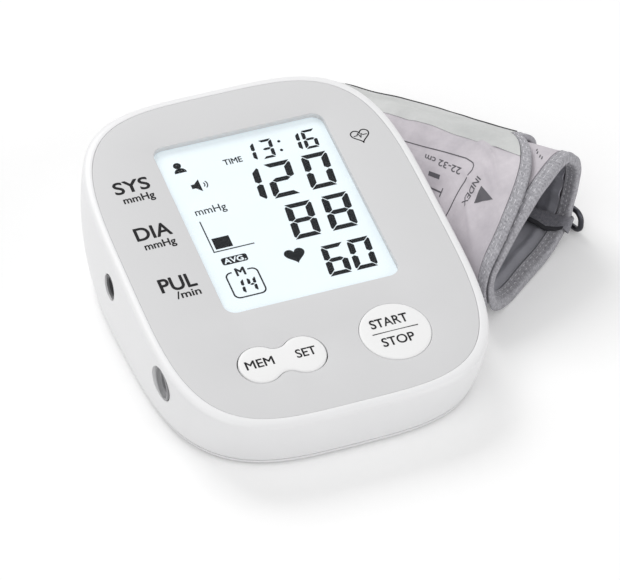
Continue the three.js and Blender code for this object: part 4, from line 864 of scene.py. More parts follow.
def add_line(mesh, points, width, level, thickness, closed=False):
    """A printed line along a path."""
    places = [Vector((x, y)) for x, y in points]
    count = len(places)
    last = count if closed else count - 1
    for i in range(last):
        a, b = places[i], places[(i + 1) % count]
        along = (b - a).normalized() * (width / 2)
        side = Vector((-along.y, along.x))
        corners = [a - along + side, b + along + side, b + along - side, a - along - side]
        add_face(mesh, [(c.x, c.y) for c in corners], level, thickness)


def heart(middle_u, middle_v, size):
    """A heart sign's outline."""
    points = []
    for i in range(40):
        t = math.tau * i / 40
        x = 16 * math.sin(t) ** 3
        y = 13 * math.cos(t) - 5 * math.cos(2 * t) - 2 * math.cos(3 * t) - math.cos(4 * t)
        points.append((middle_u + x * size / 32, middle_v + y * size / 32))
    return points


def display_marks():
    """All that the display shows: the readings, the time and its small signs."""
    mesh = bmesh.new()

    def add_sign(points):
        add_face(mesh, points, DISPLAY_LEVEL, DISPLAY_PRINT)

    def add_rule(points, width):
        add_line(mesh, points, width, DISPLAY_LEVEL, DISPLAY_PRINT)

    for digit, left, bottom, width, height, stroke in (
        ("1", -6.6, 19.2, 8.5, 15.4, 1.75), ("2", 4.0, 19.2, 9.2, 15.4, 1.8),
        ("0", 17.2, 19.2, 9.2, 15.4, 1.8),
        ("8", 4.3, 0.1, 9.3, 15.3, 1.8), ("8", 17.2, 0.1, 9.3, 15.3, 1.8),
        ("6", 9.5, -18.3, 7.8, 13.1, 1.6), ("0", 18.6, -18.3, 7.8, 13.1, 1.6),
        ("1", 0.3, 37.0, 4.6, 8.4, 0.95), ("3", 6.7, 37.0, 4.6, 8.4, 0.95),
        ("1", 16.4, 37.0, 4.6, 8.4, 0.95), ("6", 21.9, 37.0, 4.9, 8.4, 0.95),
        ("1", -21.2, -16.9, 2.6, 6.5, 0.75), ("4", -17.4, -16.9, 2.9, 6.5, 0.75),
    ):
        add_digit(mesh, digit, left, bottom, width, height, stroke)
    for v in (39.2, 43.2):
        add_sign(circle(13.6 + (v - 37) * 0.12, v, 0.55, 16))
    add_sign(heart(1.9, -6.0, 7.0))
    add_rule([(-22.95, 16.7), (-22.9, 2.85), (-9.2, 2.85)], 0.4)
    add_sign([(-21.9, 3.8), (-16.0, 3.8), (-16.0, 8.6), (-21.9, 8.6)])
    box = rounded_box(-22.8, -12.1, -18.1, -7.1, 1.9, 6)
    open_top = [p for p in box if not (-20.6 < p[0] < -14.9 and p[1] > -8)]
    first = next(i for i, p in enumerate(open_top) if p[0] < -20 and p[1] > -7.3)
    ordered = open_top[first:] + open_top[:first]
    add_rule([(-20.7, -7.1), *ordered, (-14.8, -7.1)], 0.5)
    add_sign(circle(-21.9, 42.6, 1.35, 24))
    shoulders = arc(-21.6, 39.3, 2.1, 0, math.pi, 16) + [(-23.7, 39.3)]
    add_sign(shoulders)
    speaker = [(-20.4, 31.3), (-19.2, 31.3), (-17.3, 29.4), (-17.3, 34.9), (-19.2, 33.1),
               (-20.4, 33.1)]
    add_sign(speaker)
    for radius in (1.1, 2.0):
        add_rule(arc(-16.9, 32.2, radius, -0.8, 0.8, 8), 0.36)
    add_words(mesh, "TIME", -6.6, -0.2, 38.2, 40.6, DISPLAY_WORD_LEVEL, weight=0.11)
    add_words(mesh, "mmHg", -23.1, -12.4, 19.6, 22.6, DISPLAY_WORD_LEVEL, weight=0.04)
    add_words(mesh, "M", -19.1, -16.1, -9.0, -5.8, DISPLAY_WORD_LEVEL, weight=0.3)
    pill = rounded_box(-22, -13.2, -3.5, -0.4, 0.8, 6)
    add_sign(pill)
    at = ON_FACE @ Matrix.Translation((*DISPLAY_SHIFT, 0))
    close_up(mesh)
    dark = finish_piece("display_segments", mesh, "segment", at=at)
    mesh = bmesh.new()
    add_words(mesh, "AVG.", -21.2, -13.9, -3.0, -0.9, AVERAGE_WORD_LEVEL)
    close_up(mesh)
    pale = finish_piece("display_average_word", mesh, "display", at=at)
    return dark, pale


# How high the printing lies on the panel and on each key, and how thick its lines are
PRINT_LEVEL, LINE_LEVEL, LINE_PRINT = 0.03, 0.01, 0.04
START_WORD_LEVEL, START_LINE_LEVEL, START_LINE_PRINT = KEY_PROUD + 0.17, KEY_PROUD + 0.13, 0.09
ROCKER_WORD_LEVEL = KEY_PROUD + 0.11
PANEL_WORD_WEIGHT = 0.06


def panel_words():
    """The printed words on the grey panel, beside the readings."""
    mesh = bmesh.new()
    for words, left, right, baseline, top in (
        ("SYS", -45.1, -33.2, 35.9, 41.0), ("mmHg", -43.7, -33.1, 31.4, 34.3),
        ("DIA", -44.9, -33.0, 14.6, 20.0), ("mmHg", -43.6, -33.1, 10.2, 13.1),
        ("PUL", -44.5, -32.6, -8.8, -3.2), ("/min", -40.6, -32.5, -12.6, -9.7),
    ):
        weight = (top - baseline) * PANEL_WORD_WEIGHT
        add_words(mesh, words, left, right, baseline, top, PRINT_LEVEL, weight)
    add_line(mesh, heart(41.4, 37.5, 6.3), 0.4, LINE_LEVEL, LINE_PRINT, closed=True)
    trace = [(39.2, 37.6), (40.2, 37.6), (40.8, 38.5), (41.3, 36.6), (41.9, 38.2), (42.4, 37.6),
             (43.6, 37.6)]
    add_line(mesh, trace, 0.32, LINE_LEVEL, LINE_PRINT)
    close_up(mesh)
    return finish_piece("panel_lettering", mesh, "ink", at=ON_FACE)


def key_words():
    """The printed words on the keys."""
    mesh = bmesh.new()
    add_words(mesh, "START", 14.2, 26.9, -43.7, -40.2, START_WORD_LEVEL)
    add_words(mesh, "STOP", 15.3, 26.2, -51.7, -48.3, START_WORD_LEVEL)
    add_line(mesh, [(13.6, -46.05), (28.9, -46.05)], 0.3, START_LINE_LEVEL, START_LINE_PRINT)
    close_up(mesh)
    finish_piece("start_key_lettering", mesh, "ink", "start_button", at=ON_FACE)
    mesh = bmesh.new()
    add_words(mesh, "MEM", -29.6, -20.3, -47.6, -44.3, ROCKER_WORD_LEVEL)
    add_words(mesh, "SET", -12.6, -6.0, -47.6, -44.3, ROCKER_WORD_LEVEL)
    close_up(mesh)
    finish_piece("rocker_key_lettering", mesh, "ink", "memory_set_key", at=ON_FACE)


case_shell()
face_plate()
window()
start_key()
rocker_key()
air_socket()
power_jack()
display_marks()
panel_words()
key_words()


def smooth_loop(points, turn):
    """A point on the smooth closed curve through the given points."""
    count = len(points)
    place = turn * count
    base = math.floor(place)
    t = place - base
    p0, p1, p2, p3 = (points[(base + k) % count] for k in (-1, 0, 1, 2))
    d0, d1, d2 = ((b - a).length_squared ** 0.25 for a, b in ((p0, p1), (p1, p2), (p2, p3)))
    t1 = ((p1 - p0) / d0 - (p2 - p0) / (d0 + d1) + (p2 - p1) / d1) * d1
    t2 = ((p2 - p1) / d1 - (p3 - p1) / (d1 + d2) + (p3 - p2) / d2) * d1
    square = -3 * p1 + 3 * p2 - 2 * t1 - t2
    cube = 2 * p1 - 2 * p2 + t1 + t2
    return p1 + t1 * t + square * t ** 2 + cube * t ** 3


SECTION_POINTS = []
for (corner_x, corner_y), across, outline in CUFF_SECTIONS:
    run = math.radians(across)
    SECTION_POINTS.append([
        Vector((corner_x + w * math.cos(run), corner_y + w * math.sin(run), h)) for w, h in outline
    ])

round_table = {}


def round_samples(turn):
    """The three sections' points at a turn, just ahead of it and just behind."""
    key = round(turn, 6)
    if key not in round_table:
        step = 0.004
        round_table[key] = [[smooth_loop(points, (turn + shift) % 1) for points in SECTION_POINTS]
                            for shift in (0, step, -step)]
    return round_table[key]


def cuff_point(round_step, along, out):
    """A point round the cuff in steps, along it in millimetres and out from its skin."""
    share = along / CUFF_WIDTH
    weights = ((1 - share) * (1 - 2 * share), 4 * share * (1 - share), share * (2 * share - 1))
    place, ahead, behind = (
        sum((p * w for p, w in zip(points, weights)), Vector((0, 0, 0)))
        for points in round_samples((round_step / CUFF_STEPS) % 1)
    )
    first, last = CUFF_SECTIONS[0][1], CUFF_SECTIONS[2][1]
    across = math.radians(first + (last - first) * share)
    axis = Vector((-math.sin(across), math.cos(across), 0))
    outward = axis.cross(ahead - behind).normalized()
    point = place + outward * out + Vector((0, 0, CUFF_FLOOR))
    point.z = max(point.z, CUFF_LOWEST)
    return point


# Crumples: how many round and along the cloth, and how high the coarse and the fine ones stand
CRUMPLES_ROUND, CRUMPLES_ALONG, COARSE_STAND, FINE_STAND, FINER = 2.1, 0.035, 0.7, 0.35, 2.3
# The step round at the middle of what lies on the floor, and how many steps the cloth needs to rise
FLOOR_MIDDLE, FLOOR_REACH = 3.5, 5


def crumple(round_step, along):
    """How far the cloth stands out or in from its even shape, the same for every layer."""
    turn = math.tau * round_step / CUFF_STEPS
    spot = Vector((math.cos(turn) * CRUMPLES_ROUND, math.sin(turn) * CRUMPLES_ROUND,
                   along * CRUMPLES_ALONG))
    fine_spot = spot * FINER + Vector((7, 3, 1))
    ripple = noise.noise(spot) * COARSE_STAND + noise.noise(fine_spot) * FINE_STAND
    half = CUFF_STEPS / 2
    from_floor = abs((round_step - FLOOR_MIDDLE + half) % CUFF_STEPS - half)
    on_floor = max(0.0, 1 - from_floor / FLOOR_REACH)
    return ripple * (1 - on_floor)


# The flap's creases: each from one (step round, along) to another, its half width and height
FLAP_CREASES = [
    ((23.3, 26), (24.9, 14.5), 0.9, 1.25), ((24.3, 25), (25.5, 15), 0.8, 1.0),
    ((22.9, 32), (23.9, 17), 1.2, 1.0), ((25.5, 32), (26.6, 16), 1.2, 0.8),
    ((27.4, 24), (29.6, 11), 1.6, 1.0), ((28.6, 38), (30.8, 18), 2.2, 1.1),
    ((23.6, 64), (23.3, 36), 1.8, 0.8), ((26.5, 78), (29.5, 50), 2.4, 0.8),
]
# About how far a step round is on the flap, for creases, print and ribs
STEP_WIDTH = 4.2


def creases(round_step, along):
    """How far the flap's creases stand out at a place."""
    here = Vector((round_step * STEP_WIDTH, along))
    stand = 0.0
    for start, end, half_width, height in FLAP_CREASES:
        a = Vector((start[0] * STEP_WIDTH, start[1]))
        run = Vector((end[0] * STEP_WIDTH, end[1])) - a
        share = min(1.0, max(0.0, (here - a).dot(run) / run.length_squared))
        away = (here - a - run * share).length / half_width
        swell = 0.35 + 0.65 * math.sin(math.pi * min(1, share + 0.25))
        stand += height * math.exp(-away * away) * swell
    return stand


def flap_stand(round_step, along):
    """The flap's own shape: crumpled like the rest, and creased by its folding."""
    return crumple(round_step, along) + creases(round_step, along)


# The seam pressed into the lining, and the slack folds: where they are, how far they reach
# round and along, and how deep they are
SEAM_ALONG, SEAM_HALF_WIDTH, SEAM_DEPTH = 8.6, 1.1, 0.7
SLACK_MIDDLE, SLACK_REACH, SLACK_BACK, FOLD_DEPTH = 13.5, 4.5, 60, 1.1


def lining_stand(round_step, along):
    """The lining's shape: crumpled, with a seam pressed in and slack folds behind the mouth."""
    seam_line = SEAM_DEPTH * math.exp(-(((along - SEAM_ALONG) / SEAM_HALF_WIDTH) ** 2))
    slack = max(0.0, 1 - abs(round_step - SLACK_MIDDLE) / SLACK_REACH)
    slack *= max(0.0, 1 - along / SLACK_BACK)
    folds = slack * FOLD_DEPTH * (1 + math.sin(round_step * 2.6 + along * 0.05))
    return crumple(round_step, along) - seam_line - folds


def arc_length(round_step):
    """The distance round the cuff's middle from its start, in millimetres."""
    whole = [cuff_point(i / 2, CUFF_WIDTH / 2, 0) for i in range(int(round_step * 2) + 1)]
    return sum((b - a).length for a, b in zip(whole, whole[1:]))


ROUND_PER_STEP = arc_length(CUFF_STEPS) / CUFF_STEPS


def cloth_piece(name, paint, profile, start, end, steps, stands_for, stand=crumple):
    """Cloth swept round the cuff. The profile gives (along, out) pairs at each step round."""
    mesh = bmesh.new()
    marks = {}
    row = first = None
    for i in range(steps + 1):
        round_step = start + (end - start) * i / steps
        pairs = profile(round_step)
        row = next_row(mesh, row, [cuff_point(round_step, along, out + stand(round_step, along))
                                   for along, out in pairs])
        first = first or row
        for vertex, (along, _) in zip(row, pairs):
            marks[vertex] = (round_step * ROUND_PER_STEP, along)
    if end - start < CUFF_STEPS:
        for end_row in (first, row):
            mesh.faces.new(end_row)
    lay_cloth_map(mesh, marks)
    close_up(mesh)
    return finish_piece(name, mesh, paint, stands_for=stands_for, crisp=50)


def strip_profile(front, back, inner, outer, steps, soft=0.25):
    """The section of a cloth layer: two faces and softened edges."""
    soft = min(soft, (outer - inner) / 2.2)
    span = back - front
    top = [(front + soft + (span - 2 * soft) * i / steps, outer) for i in range(steps + 1)]
    bottom = [(a, inner) for a, _ in reversed(top)]
    mid = (inner + outer) / 2
    return top + [(back, mid)] + bottom + [(front, mid)]


def binding_profile(front, back, inner, outer, folded_front=True):
    """Flat tape folded round an edge: two faces, a squared fold and raised selvedges."""
    turn_radius = min(1.1, (outer - inner) / 2.4)
    half = (outer - inner) / 2 - turn_radius
    mid = (inner + outer) / 2
    fold = []
    for middle, first in ((mid + half, math.pi / 2), (mid - half, math.pi)):
        for i in range(5):
            turn = first + math.pi / 2 * i / 4
            fold.append((turn_radius * (1 + math.cos(turn)), middle + turn_radius * math.sin(turn)))
    lift, width = 0.14, back - front
    run = [(width * k / 4, inner) for k in (2, 3)]
    far = [(width - 0.7, inner), (width - 0.35, inner - lift), (width, inner + 0.2),
           (width, outer - 0.2), (width - 0.35, outer + lift), (width - 0.7, outer)]
    pairs = fold + run + far + [(a, outer) for a, _ in reversed(run)]
    if folded_front:
        return [(front + a, out) for a, out in pairs]
    return [(back - a, out) for a, out in pairs]


def flap_front(round_step):
    """How far the flap's near edge lies back along the cuff: furthest at the crest."""
    climb = min(1.0, max(0.0, (FLAP_TO - round_step) / (FLAP_TO - FLAP_CREST)))
    return FOOT_SET_BACK + (CREST_SET_BACK - FOOT_SET_BACK) * climb ** FLAP_SWEEP


SHELL_STEPS, FLAP_STEPS, BAG_STEPS, HOOK_STEPS, PORT_STEPS = 180, 152, 80, 28, 24

outer_cloth = cloth_piece(
    "cuff_outer_cloth", "cloth",
    lambda r: strip_profile(FRONT, BACK, CLOTH_INNER, CLOTH_OUTER, 36),
    0, CUFF_STEPS, SHELL_STEPS, ["cuff_shell"])
air_bag = cloth_piece(
    "cuff_air_bag", "bag",
    lambda r: strip_profile(BAG_FRONT, BAG_BACK, BAG_INNER, BAG_OUTER, 20),
    BAG_FROM, BAG_TO, BAG_STEPS, ["cuff_bladder"])
inner_cloth = cloth_piece(
    "cuff_inner_cloth", "lining",
    lambda r: strip_profile(FRONT, BACK, LINING_INNER, LINING_OUTER, 90),
    0, CUFF_STEPS, SHELL_STEPS, ["cuff_lining"], stand=lining_stand)
near_tape = cloth_piece(
    "near_binding_tape", "tape",
    lambda r: binding_profile(0, BINDING, TAPE_INNER, TAPE_OUTER),
    0, CUFF_STEPS, SHELL_STEPS, ["cuff_near_binding"])
far_tape = cloth_piece(
    "far_binding_tape", "tape",
    lambda r: binding_profile(CUFF_WIDTH - BINDING, CUFF_WIDTH, TAPE_INNER, TAPE_OUTER, False),
    0, CUFF_STEPS, SHELL_STEPS, ["cuff_far_binding"])
flap_cloth = cloth_piece(
    "flap_cloth", "cloth",
    lambda r: strip_profile(flap_front(r) + BINDING + 0.1, CUFF_WIDTH, FLAP_INNER, FLAP_OUTER, 90),
    FLAP_FROM, FLAP_TO, FLAP_STEPS, ["cuff_flap"], stand=flap_stand)
flap_tape = cloth_piece(
    "flap_binding_tape", "tape",
    lambda r: binding_profile(flap_front(r), flap_front(r) + BINDING, FLAP_INNER, FLAP_TAPE_OUTER),
    FLAP_FROM, FLAP_TO, FLAP_STEPS, ["cuff_flap_binding"], stand=flap_stand)
cloth_piece(
    "hook_strip", "hook",
    lambda r: strip_profile(HOOK_FRONT, HOOK_BACK, HOOK_INNER, HOOK_OUTER, 24),
    HOOK_FROM, HOOK_TO, HOOK_STEPS, ["cuff_hook_tape"])


def follow(table, along):
    """A value read off a table of (along, value) pairs."""
    for (a, low), (b, high) in zip(table, table[1:]):
        if along <= b:
            return low + (high - low) * max(0.0, along - a) / (b - a)
    return table[-1][1]


# Along the cuff: where the piping lies, and how far down the flap the pale band reaches
PIPING_LINE = [(20, 18.9), (40, 18.2), (60, 17.2), (80, 15.9), (116, 15.2)]
BAND_LINE = [(20, 22.35), (33, 22.75), (46, 23.25), (61, 23.62), (75, 23.88), (116, 24)]


def swept_along(name, paint, section_at, stops):
    """A piece swept along the cuff. Its section is (round step, along, out) places at a stop."""
    mesh = bmesh.new()
    marks = {}
    row = first = None
    for stop in stops:
        places = section_at(stop)
        row = next_row(mesh, row, [cuff_point(r, a, out) for r, a, out in places])
        first = first or row
        for vertex, (r, a, _) in zip(row, places):
            marks[vertex] = (r * STEP_WIDTH, a)
    for end_row in (first, row):
        mesh.faces.new(end_row)
    lay_cloth_map(mesh, marks)
    close_up(mesh)
    return finish_piece(name, mesh, paint, crisp=50)


def band_section(along):
    """The pale band's section: a thin strip that lies on the flap."""
    low, high = follow(PIPING_LINE, along), follow(BAND_LINE, along)
    steps = [low + (high - low) * i / 14 for i in range(15)]
    top = [(r, along, FLAP_OUTER + 0.3 + flap_stand(r, along)) for r in steps]
    bottom = [(r, along, FLAP_OUTER + 0.04 + flap_stand(r, along)) for r in reversed(steps)]
    return top + bottom


def piping_section(along):
    """The section of the thin piping along the band's edge."""
    middle = follow(PIPING_LINE, along)
    stand = flap_stand(middle, along) + FLAP_OUTER + 0.35
    return [(middle + x / STEP_WIDTH, along, stand + y) for x, y in circle(0, 0, 0.34, 8)]


band_from = CREST_SET_BACK + BINDING + 0.4
band_stops = [band_from + (CUFF_WIDTH - band_from) * i / 60 for i in range(61)]


def fitted_band_section(along):
    """The band's section, its near end cut to the flap's swept edge."""
    share = max(0.0, 1 - (along - band_from) / 14)
    return [(r, a + (flap_front(r) + BINDING + 0.3 - band_from) * share, out)
            for r, a, out in band_section(along)]


edge_band = swept_along("flap_edge_band", "band", fitted_band_section, band_stops)
swept_along("flap_piping", "piping", piping_section, band_stops)


def hose_port():
    """The air hose's port: a soft patch on the cuff's far side, and its short tube."""
    cloth_piece("hose_port_patch", "port",
                lambda r: strip_profile(PORT_FRONT, PORT_BACK, 0.3, 1.5, 8, 0.5),
                PORT_FROM, PORT_TO, PORT_STEPS, ["cuff_hose_port"])
    middle = (PORT_FROM + PORT_TO) / 2
    start, end = (cuff_point(middle, along, 3.7) for along in (PORT_FRONT + 2, PORT_BACK - 1))
    ahead = (end - start).normalized()
    side = ahead.cross(cuff_point(middle, PORT_FRONT + 2, 4.7) - start).normalized()
    lip = [(1.35, 0), (2.3, 0), (2.5, 0.25), (2.5, 2.2), (2.35, 2.4), (2.35, 2.7), (2.5, 2.9),
           (2.5, 8.6), (2.3, 8.95), (1.6, 9), (1.35, 8.8), (1.35, 0)]
    at = Matrix.Translation(start) @ Matrix((side, ahead.cross(side), ahead)).transposed().to_4x4()
    finish_piece("hose_port_tube", turned(lip, 48), "port", at=at)


hose_port()


# The strap that is sewn inside the cuff's mouth and turns out over its rim towards the ring
STRAP_PATH = [(22, -5.6), (14, -5.5), (9, -5.3), (6, -4.5), (2, -4.3), (0, -4.1), (-0.9, -3.2),
              (-1.1, -1.7), (-0.9, -0.3), (0, 0.75), (2, 0.95), (6, 0.95)]
STRAP_TURN = 6
# Its two edges at the mouth, in steps round, and how much they slant for each millimetre inwards
STRAP_LOW, STRAP_HIGH, LOW_SLANT, HIGH_SLANT = 9.3, 10.9, 0.07, 0.16


def strap_section(low_shift, high_shift, half_thickness):
    """The strap's section at each stop of its path, between two edges that slant inwards."""
    def section(stop):
        along, out = STRAP_PATH[stop]
        before = Vector(STRAP_PATH[max(0, stop - 1)])
        after = Vector(STRAP_PATH[min(len(STRAP_PATH) - 1, stop + 1)])
        way = (after - before).normalized()
        off = Vector((-way.y, way.x)) * half_thickness
        inwards = max(0.0, along) if stop < STRAP_TURN else 0.0
        low = STRAP_LOW - min(inwards, 4) * 0.28 - inwards * LOW_SLANT
        high = STRAP_HIGH - inwards * HIGH_SLANT
        low, high = low + low_shift, (high if high_shift is None else low + high_shift)
        steps = [low + (high - low) * i / 6 for i in range(7)]
        return ([(r, along + off.x, out + off.y) for r in steps]
                + [(r, along - off.x, out - off.y) for r in reversed(steps)])
    return section


swept_along("ring_inner_strap", "webbing", strap_section(0, None, 0.45),
            range(len(STRAP_PATH)))
# A narrow strip in the dark piping paint along the strap's lower edge: painted shadow where the
# strap shades the lining
swept_along("strap_edge_shadow", "piping", strap_section(-0.2, 0.2, 0.6),
            range(STRAP_TURN))


def on_flap(round_step, along, lift):
    """A place on the flap's outer face."""
    return cuff_point(round_step, along, FLAP_OUTER + lift + flap_stand(round_step, along))


def add_cuff_line(mesh, places, width, place_at=on_flap, pitch=1.2):
    """A printed line through (step round, along) places, as a thin raised ribbon."""
    path = []
    for a, b in zip(places, places[1:]):
        start, end = (Vector((r * STEP_WIDTH, along)) for r, along in (a, b))
        count = max(1, round((end - start).length / pitch))
        path += [start.lerp(end, i / count) for i in range(count)]
    path.append(end)
    row = None
    for i, here in enumerate(path):
        way = (path[min(i + 1, len(path) - 1)] - path[max(i - 1, 0)]).normalized()
        side = Vector((-way.y, way.x)) * width / 2
        left, right = here + side, here - side
        points = [place_at(p.x / STEP_WIDTH, p.y, lift) for p, lift in
                  ((left, 0.01), (left, 0.07), (right, 0.07), (right, 0.01))]
        row = next_row(mesh, row, points)
        if i in (0, len(path) - 1):
            mesh.faces.new(row)


def add_cuff_words(mesh, words, start, x_way, height, length):
    """Printed words that start at a (step round, along) place and run one way over the flap."""
    flat = bmesh.new()
    add_words(flat, words, 0, length, 0, height, 0, weight=0.12)
    across = Vector((x_way.y, -x_way.x))
    origin = Vector((start[0] * STEP_WIDTH, start[1]))
    for vertex in flat.verts:
        x, y, z = vertex.co
        spot = origin + x_way * x + across * y
        vertex.co = on_flap(spot.x / STEP_WIDTH, spot.y, 0.05 + z)
    data = as_data("print", flat)
    mesh.from_mesh(data)
    bpy.data.meshes.remove(data)


def on_shell(round_step, along, lift):
    """A place on the cuff's outer cloth, in front of the flap."""
    return cuff_point(round_step, along, lift + crumple(round_step, along))


# How broad the lines of the cuff's printing are
BORDER_LINE, RANGE_LINE, TICK_LINE, RANGE_BAR = 0.42, 0.5, 0.45, 1.5


def cuff_print():
    """The plain printing on the cuff: a ruled box, an index mark, a size range and short ticks."""
    mesh = bmesh.new()
    corner = [(24.62, 31.2), (24.66, 30.1), (24.82, 29.3), (25.1, 29)]
    add_cuff_line(mesh, [(27, 92), (26.5, 78), (25.9, 63.5), (25.2, 48), (24.6, 34), *corner,
                         (27, 30.2), (29, 31.5), (31.3, 33)], BORDER_LINE)
    add_cuff_words(mesh, "22-32 cm", (25.45, 33.6), Vector((0.13, 1)).normalized(), 2.3, 19)
    add_cuff_words(mesh, "INDEX", (25.3, 25.6), Vector((1, 0.11)).normalized(), 2.2, 9.6)
    add_cuff_line(mesh, [(28.0, 38), (28.6, 52)], RANGE_LINE)
    for r, a in ((28.0, 38), (28.6, 52)):
        add_cuff_line(mesh, [(r - 0.35, a), (r + 0.35, a)], RANGE_LINE)
    add_cuff_line(mesh, [(27.1, 41.5), (27.35, 47.5)], RANGE_BAR)
    top, tip, foot = Vector((25.7, 21.9)), Vector((25.95, 14.6)), Vector((27.0, 21.4))
    ribbons = 16
    for i in range(ribbons):
        share = (i + 0.5) / ribbons
        ribbon = [top.lerp(tip, share), foot.lerp(tip, share)]
        add_cuff_line(mesh, ribbon, RANGE_LINE, pitch=0.8)
    for r, a in ((20.55, 12.6), (20.9, 11.4), (21.2, 9.4), (21.3, 8.2)):
        add_cuff_line(mesh, [(r, a), (r + 0.3, a - 0.5)], TICK_LINE, on_shell)
    close_up(mesh)
    return finish_piece("cuff_print", mesh, "cuff_ink")


label_print = cuff_print()


def out_from_corner(section, distance):
    """A place on the floor, this far out from a cuff section's corner on its line across."""
    (x, y), across, _ = CUFF_SECTIONS[section]
    run = math.radians(across)
    return Vector((x + distance * math.cos(run), y + distance * math.sin(run), 0))


# The ring's size over its wire, and the webbing round its upper run, from its axis
RING_LENGTH, RING_HEIGHT, RING_CORNER, WIRE = 64, 9.6, 3, 1
LOOP_INNER, LOOP_OUTER, LOOP_FROM, LOOP_TO = 1.3, 2.3, 9, 55
ring_near, ring_middle = out_from_corner(0, 52.4), out_from_corner(1, 44.2)
ring_run = (ring_middle - ring_near).normalized()
ring_start = ring_near - ring_run * 2.2 + UP * (CUFF_FLOOR + RING_HEIGHT - WIRE - 0.2)
RING_FRAME = (Matrix.Translation(ring_start)
              @ Matrix((ring_run, UP, ring_run.cross(UP))).transposed().to_4x4())


def ring_wire():
    """The wire frame that the flap is threaded through."""
    drop = RING_HEIGHT - 2 * WIRE
    path = rounded_box(0, RING_LENGTH, -drop, 0, RING_CORNER, 10)
    mesh = bmesh.new()
    count = len(path)
    row = None
    for i in range(count + 1):
        here = Vector((*path[i % count], 0))
        ahead = Vector((*path[(i + 1) % count], 0))
        behind = Vector((*path[(i - 1) % count], 0))
        way = (ahead - behind).normalized()
        side = way.cross(UP)
        points = [here + (side * math.cos(a) + UP * math.sin(a)) * WIRE
                  for a in (math.tau * k / 16 for k in range(16))]
        row = next_row(mesh, row, points)
    close_up(mesh)
    return finish_piece("ring_wire", mesh, "ring", "fastening_ring", ["cuff_ring"],
                        at=RING_FRAME)


def ring_strap():
    """The webbing loop that holds the ring."""
    mesh = bmesh.new()
    row = None
    marks = {}
    inner, outer, first, last = LOOP_INNER, LOOP_OUTER, LOOP_FROM, LOOP_TO
    section = [(first + 0.3, outer), (last - 0.3, outer), (last, outer - 0.4), (last, inner + 0.3),
               (last - 0.3, inner), (first + 0.3, inner), (first, inner + 0.3),
               (first, outer - 0.4)]
    for i in range(49):
        turn = math.tau * i / 48
        points = [Vector((x, r * math.cos(turn), r * math.sin(turn))) for x, r in section]
        row = next_row(mesh, row, points)
        for vertex, (x, _) in zip(row, section):
            marks[vertex] = (turn * outer, x)
    lay_cloth_map(mesh, marks)
    close_up(mesh)
    return finish_piece("ring_strap", mesh, "webbing", stands_for=["cuff_ring_loop"],
                        at=RING_FRAME)


ring_wire()
ring_strap()


def stitch(mesh, start, end, radius):
    """One stitch of thread: a slim spindle between two points."""
    way = end - start
    turn = way.to_track_quat("Z", "Y").to_matrix()
    row = None
    for share, swell in ((0, 0.4), (0.25, 0.9), (0.75, 0.9), (1, 0.4)):
        points = [start + way * share + turn @ Vector((radius * swell * x, radius * swell * y, 0))
                  for x, y in circle(0, 0, 1, 6)]
        row = next_row(mesh, row, points)
        if share in (0, 1):
            mesh.faces.new(row)


STITCH_PITCH, STITCH_SHARE, THREAD_RADIUS = 1.6, 0.45, 0.09
# The rows of stitches: how far each lies in from the tape's edge
TAPE_ROWS, MOUTH_ROWS, FLAP_TAPE_ROWS, FAR_ROW = (2.1, 3.8), (2.2, 3.8), (2.2, 3.9), 3.6
STITCH_PROUD, FLAP_STITCH_PROUD = 0.04, 0.06


def seam(mesh, place_at, start, end):
    """A row of stitches along a line on the cuff; place_at gives a point for a step round."""
    count = int((end - start) * ROUND_PER_STEP / STITCH_PITCH)
    for i in range(count):
        a = start + (end - start) * i / count
        b = a + (end - start) * STITCH_SHARE / count
        stitch(mesh, place_at(a), place_at(b), THREAD_RADIUS)


def on_cuff(along, out):
    """A place on the cuff's crumpled surface for each step round."""
    def place(round_step):
        return cuff_point(round_step, along, out + crumple(round_step, along))
    return place


def on_flap_tape(set_in):
    """A place on the flap's tape for each step round."""
    def place(round_step):
        distance = flap_front(round_step) + set_in
        out = FLAP_TAPE_OUTER + FLAP_STITCH_PROUD + flap_stand(round_step, distance)
        return cuff_point(round_step, distance, out)
    return place


def cuff_seams():
    """The rows of stitches along the tapes, and those that show inside the mouth."""
    mesh = bmesh.new()
    for distances, out in ((TAPE_ROWS, TAPE_OUTER + STITCH_PROUD),
                           (MOUTH_ROWS, TAPE_INNER - STITCH_PROUD),
                           ((CUFF_WIDTH - FAR_ROW,), TAPE_OUTER + STITCH_PROUD)):
        for distance in distances:
            seam(mesh, on_cuff(distance, out), 0, CUFF_STEPS)
    for set_in in FLAP_TAPE_ROWS:
        seam(mesh, on_flap_tape(set_in), FLAP_FROM, FLAP_TO)
    close_up(mesh)
    return finish_piece("cuff_stitching", mesh, "thread")


stitching = cuff_seams()


def declare_cloth():
    """Works out how long a strip the whole cuff and its flap would each be cut from, as long as the
    loop is round, and keeps neither length.
    """
    def girth(along, first=0, last=CUFF_STEPS):
        places = [cuff_point(first + (last - first) * i / 72, along, 0) for i in range(73)]
        return sum((b - a).length for a, b in zip(places, places[1:])) * MM
    whole = sum(girth(along) for along in (FRONT, CUFF_WIDTH / 2, BACK)) / 3
    part = sum(girth(along, FLAP_FROM, FLAP_TO) for along in (20, CUFF_WIDTH / 2, CUFF_WIDTH)) / 3


declare_cloth()


# How strongly the surroundings light the object, and how much the floor is lifted to white
WORLD_LEVEL = 0.51
FLOOR_GLOW = 0.15
WHITE = (1, 1, 1, 1)
# The floor, the lamps and the camera are in metres
FLOOR_HALF_SIZE, FLOOR_LEVEL = 4, -0.001
LAMP_AIM = Vector((0.02, 0.02, 0.02))
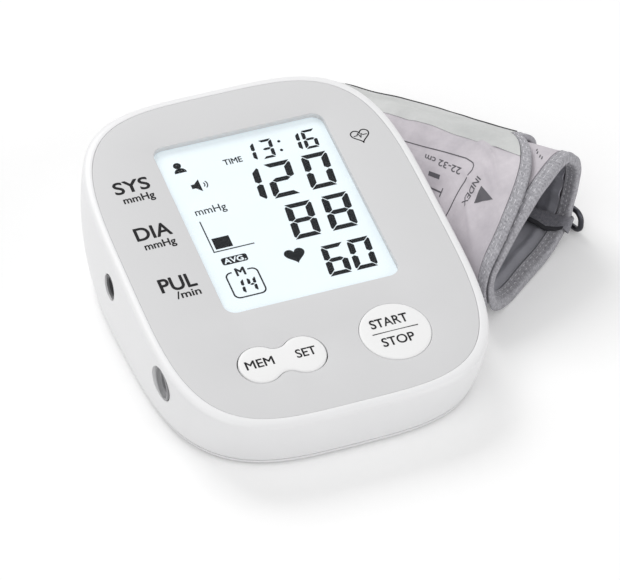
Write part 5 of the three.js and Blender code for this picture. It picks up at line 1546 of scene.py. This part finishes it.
# Each lamp's name, place, size and power
LAMPS = [
    ("back_left_lamp", (-0.45, 1.8, 2.1), 1.5, 31),
    ("front_left_lamp", (-1.5, -1.2, 1.7), 1.8, 12),
    ("front_right_lamp", (1.1, -1.6, 1.0), 1.2, 9),
]
CAMERA_PLACE = (-0.328389, -0.888228, 0.796592)
CAMERA_BACK = Vector((-0.273898, -0.720345, 0.637246))
CAMERA_LENS, CAMERA_SENSOR = 216.92, 36


def finish_floor():
    """The pale floor the object stands on."""
    mesh = bmesh.new()
    bmesh.ops.create_grid(mesh, x_segments=1, y_segments=1, size=FLOOR_HALF_SIZE)
    floor = in_scene("floor", as_data("floor", mesh))
    floor.location.z = FLOOR_LEVEL
    paint = Paint("pale floor")
    ground = paint.node("ShaderNodeBsdfDiffuse", None, {"Color": (0.9, 0.9, 0.9, 1)})
    lift = paint.seen() * FLOOR_GLOW
    glow = paint.node("ShaderNodeEmission", None, {"Color": WHITE, "Strength": lift})
    both = paint.node("ShaderNodeAddShader", None, {0: ground, 1: glow})
    paint.node("ShaderNodeOutputMaterial", None, {"Surface": both})
    floor.data.materials.append(paint.material)


def softbox(name, place, size, power):
    """A square studio lamp aimed at the object."""
    lamp = bpy.data.lights.new(name, "AREA")
    lamp.shape = "SQUARE"
    lamp.size = size
    lamp.energy = power
    holder = in_scene(name, lamp)
    holder.location = place
    holder.rotation_euler = (Vector(place) - LAMP_AIM).to_track_quat("Z", "Y").to_euler()


def studio():
    """Even white surroundings, and three large lamps."""
    around = Surroundings("studio")
    strength = around.seen() * (1 - WORLD_LEVEL) + WORLD_LEVEL
    light = around.node("ShaderNodeBackground", None, {"Color": WHITE, "Strength": strength})
    around.node("ShaderNodeOutputWorld", None, {"Surface": light})
    bpy.context.scene.world = around.world
    for lamp in LAMPS:
        softbox(*lamp)


def photo_camera():
    """The camera at the photograph's viewing angle."""
    camera = bpy.data.cameras.new("camera")
    camera.sensor_width = CAMERA_SENSOR
    camera.lens = CAMERA_LENS
    camera.clip_end = 20
    holder = in_scene("camera", camera)
    holder.location = CAMERA_PLACE
    holder.rotation_mode = "QUATERNION"
    holder.rotation_quaternion = CAMERA_BACK.to_track_quat("Z", "Y")
    bpy.context.scene.camera = holder


finish_floor()
studio()
photo_camera()
bpy.context.scene.view_settings.view_transform = "Standard"
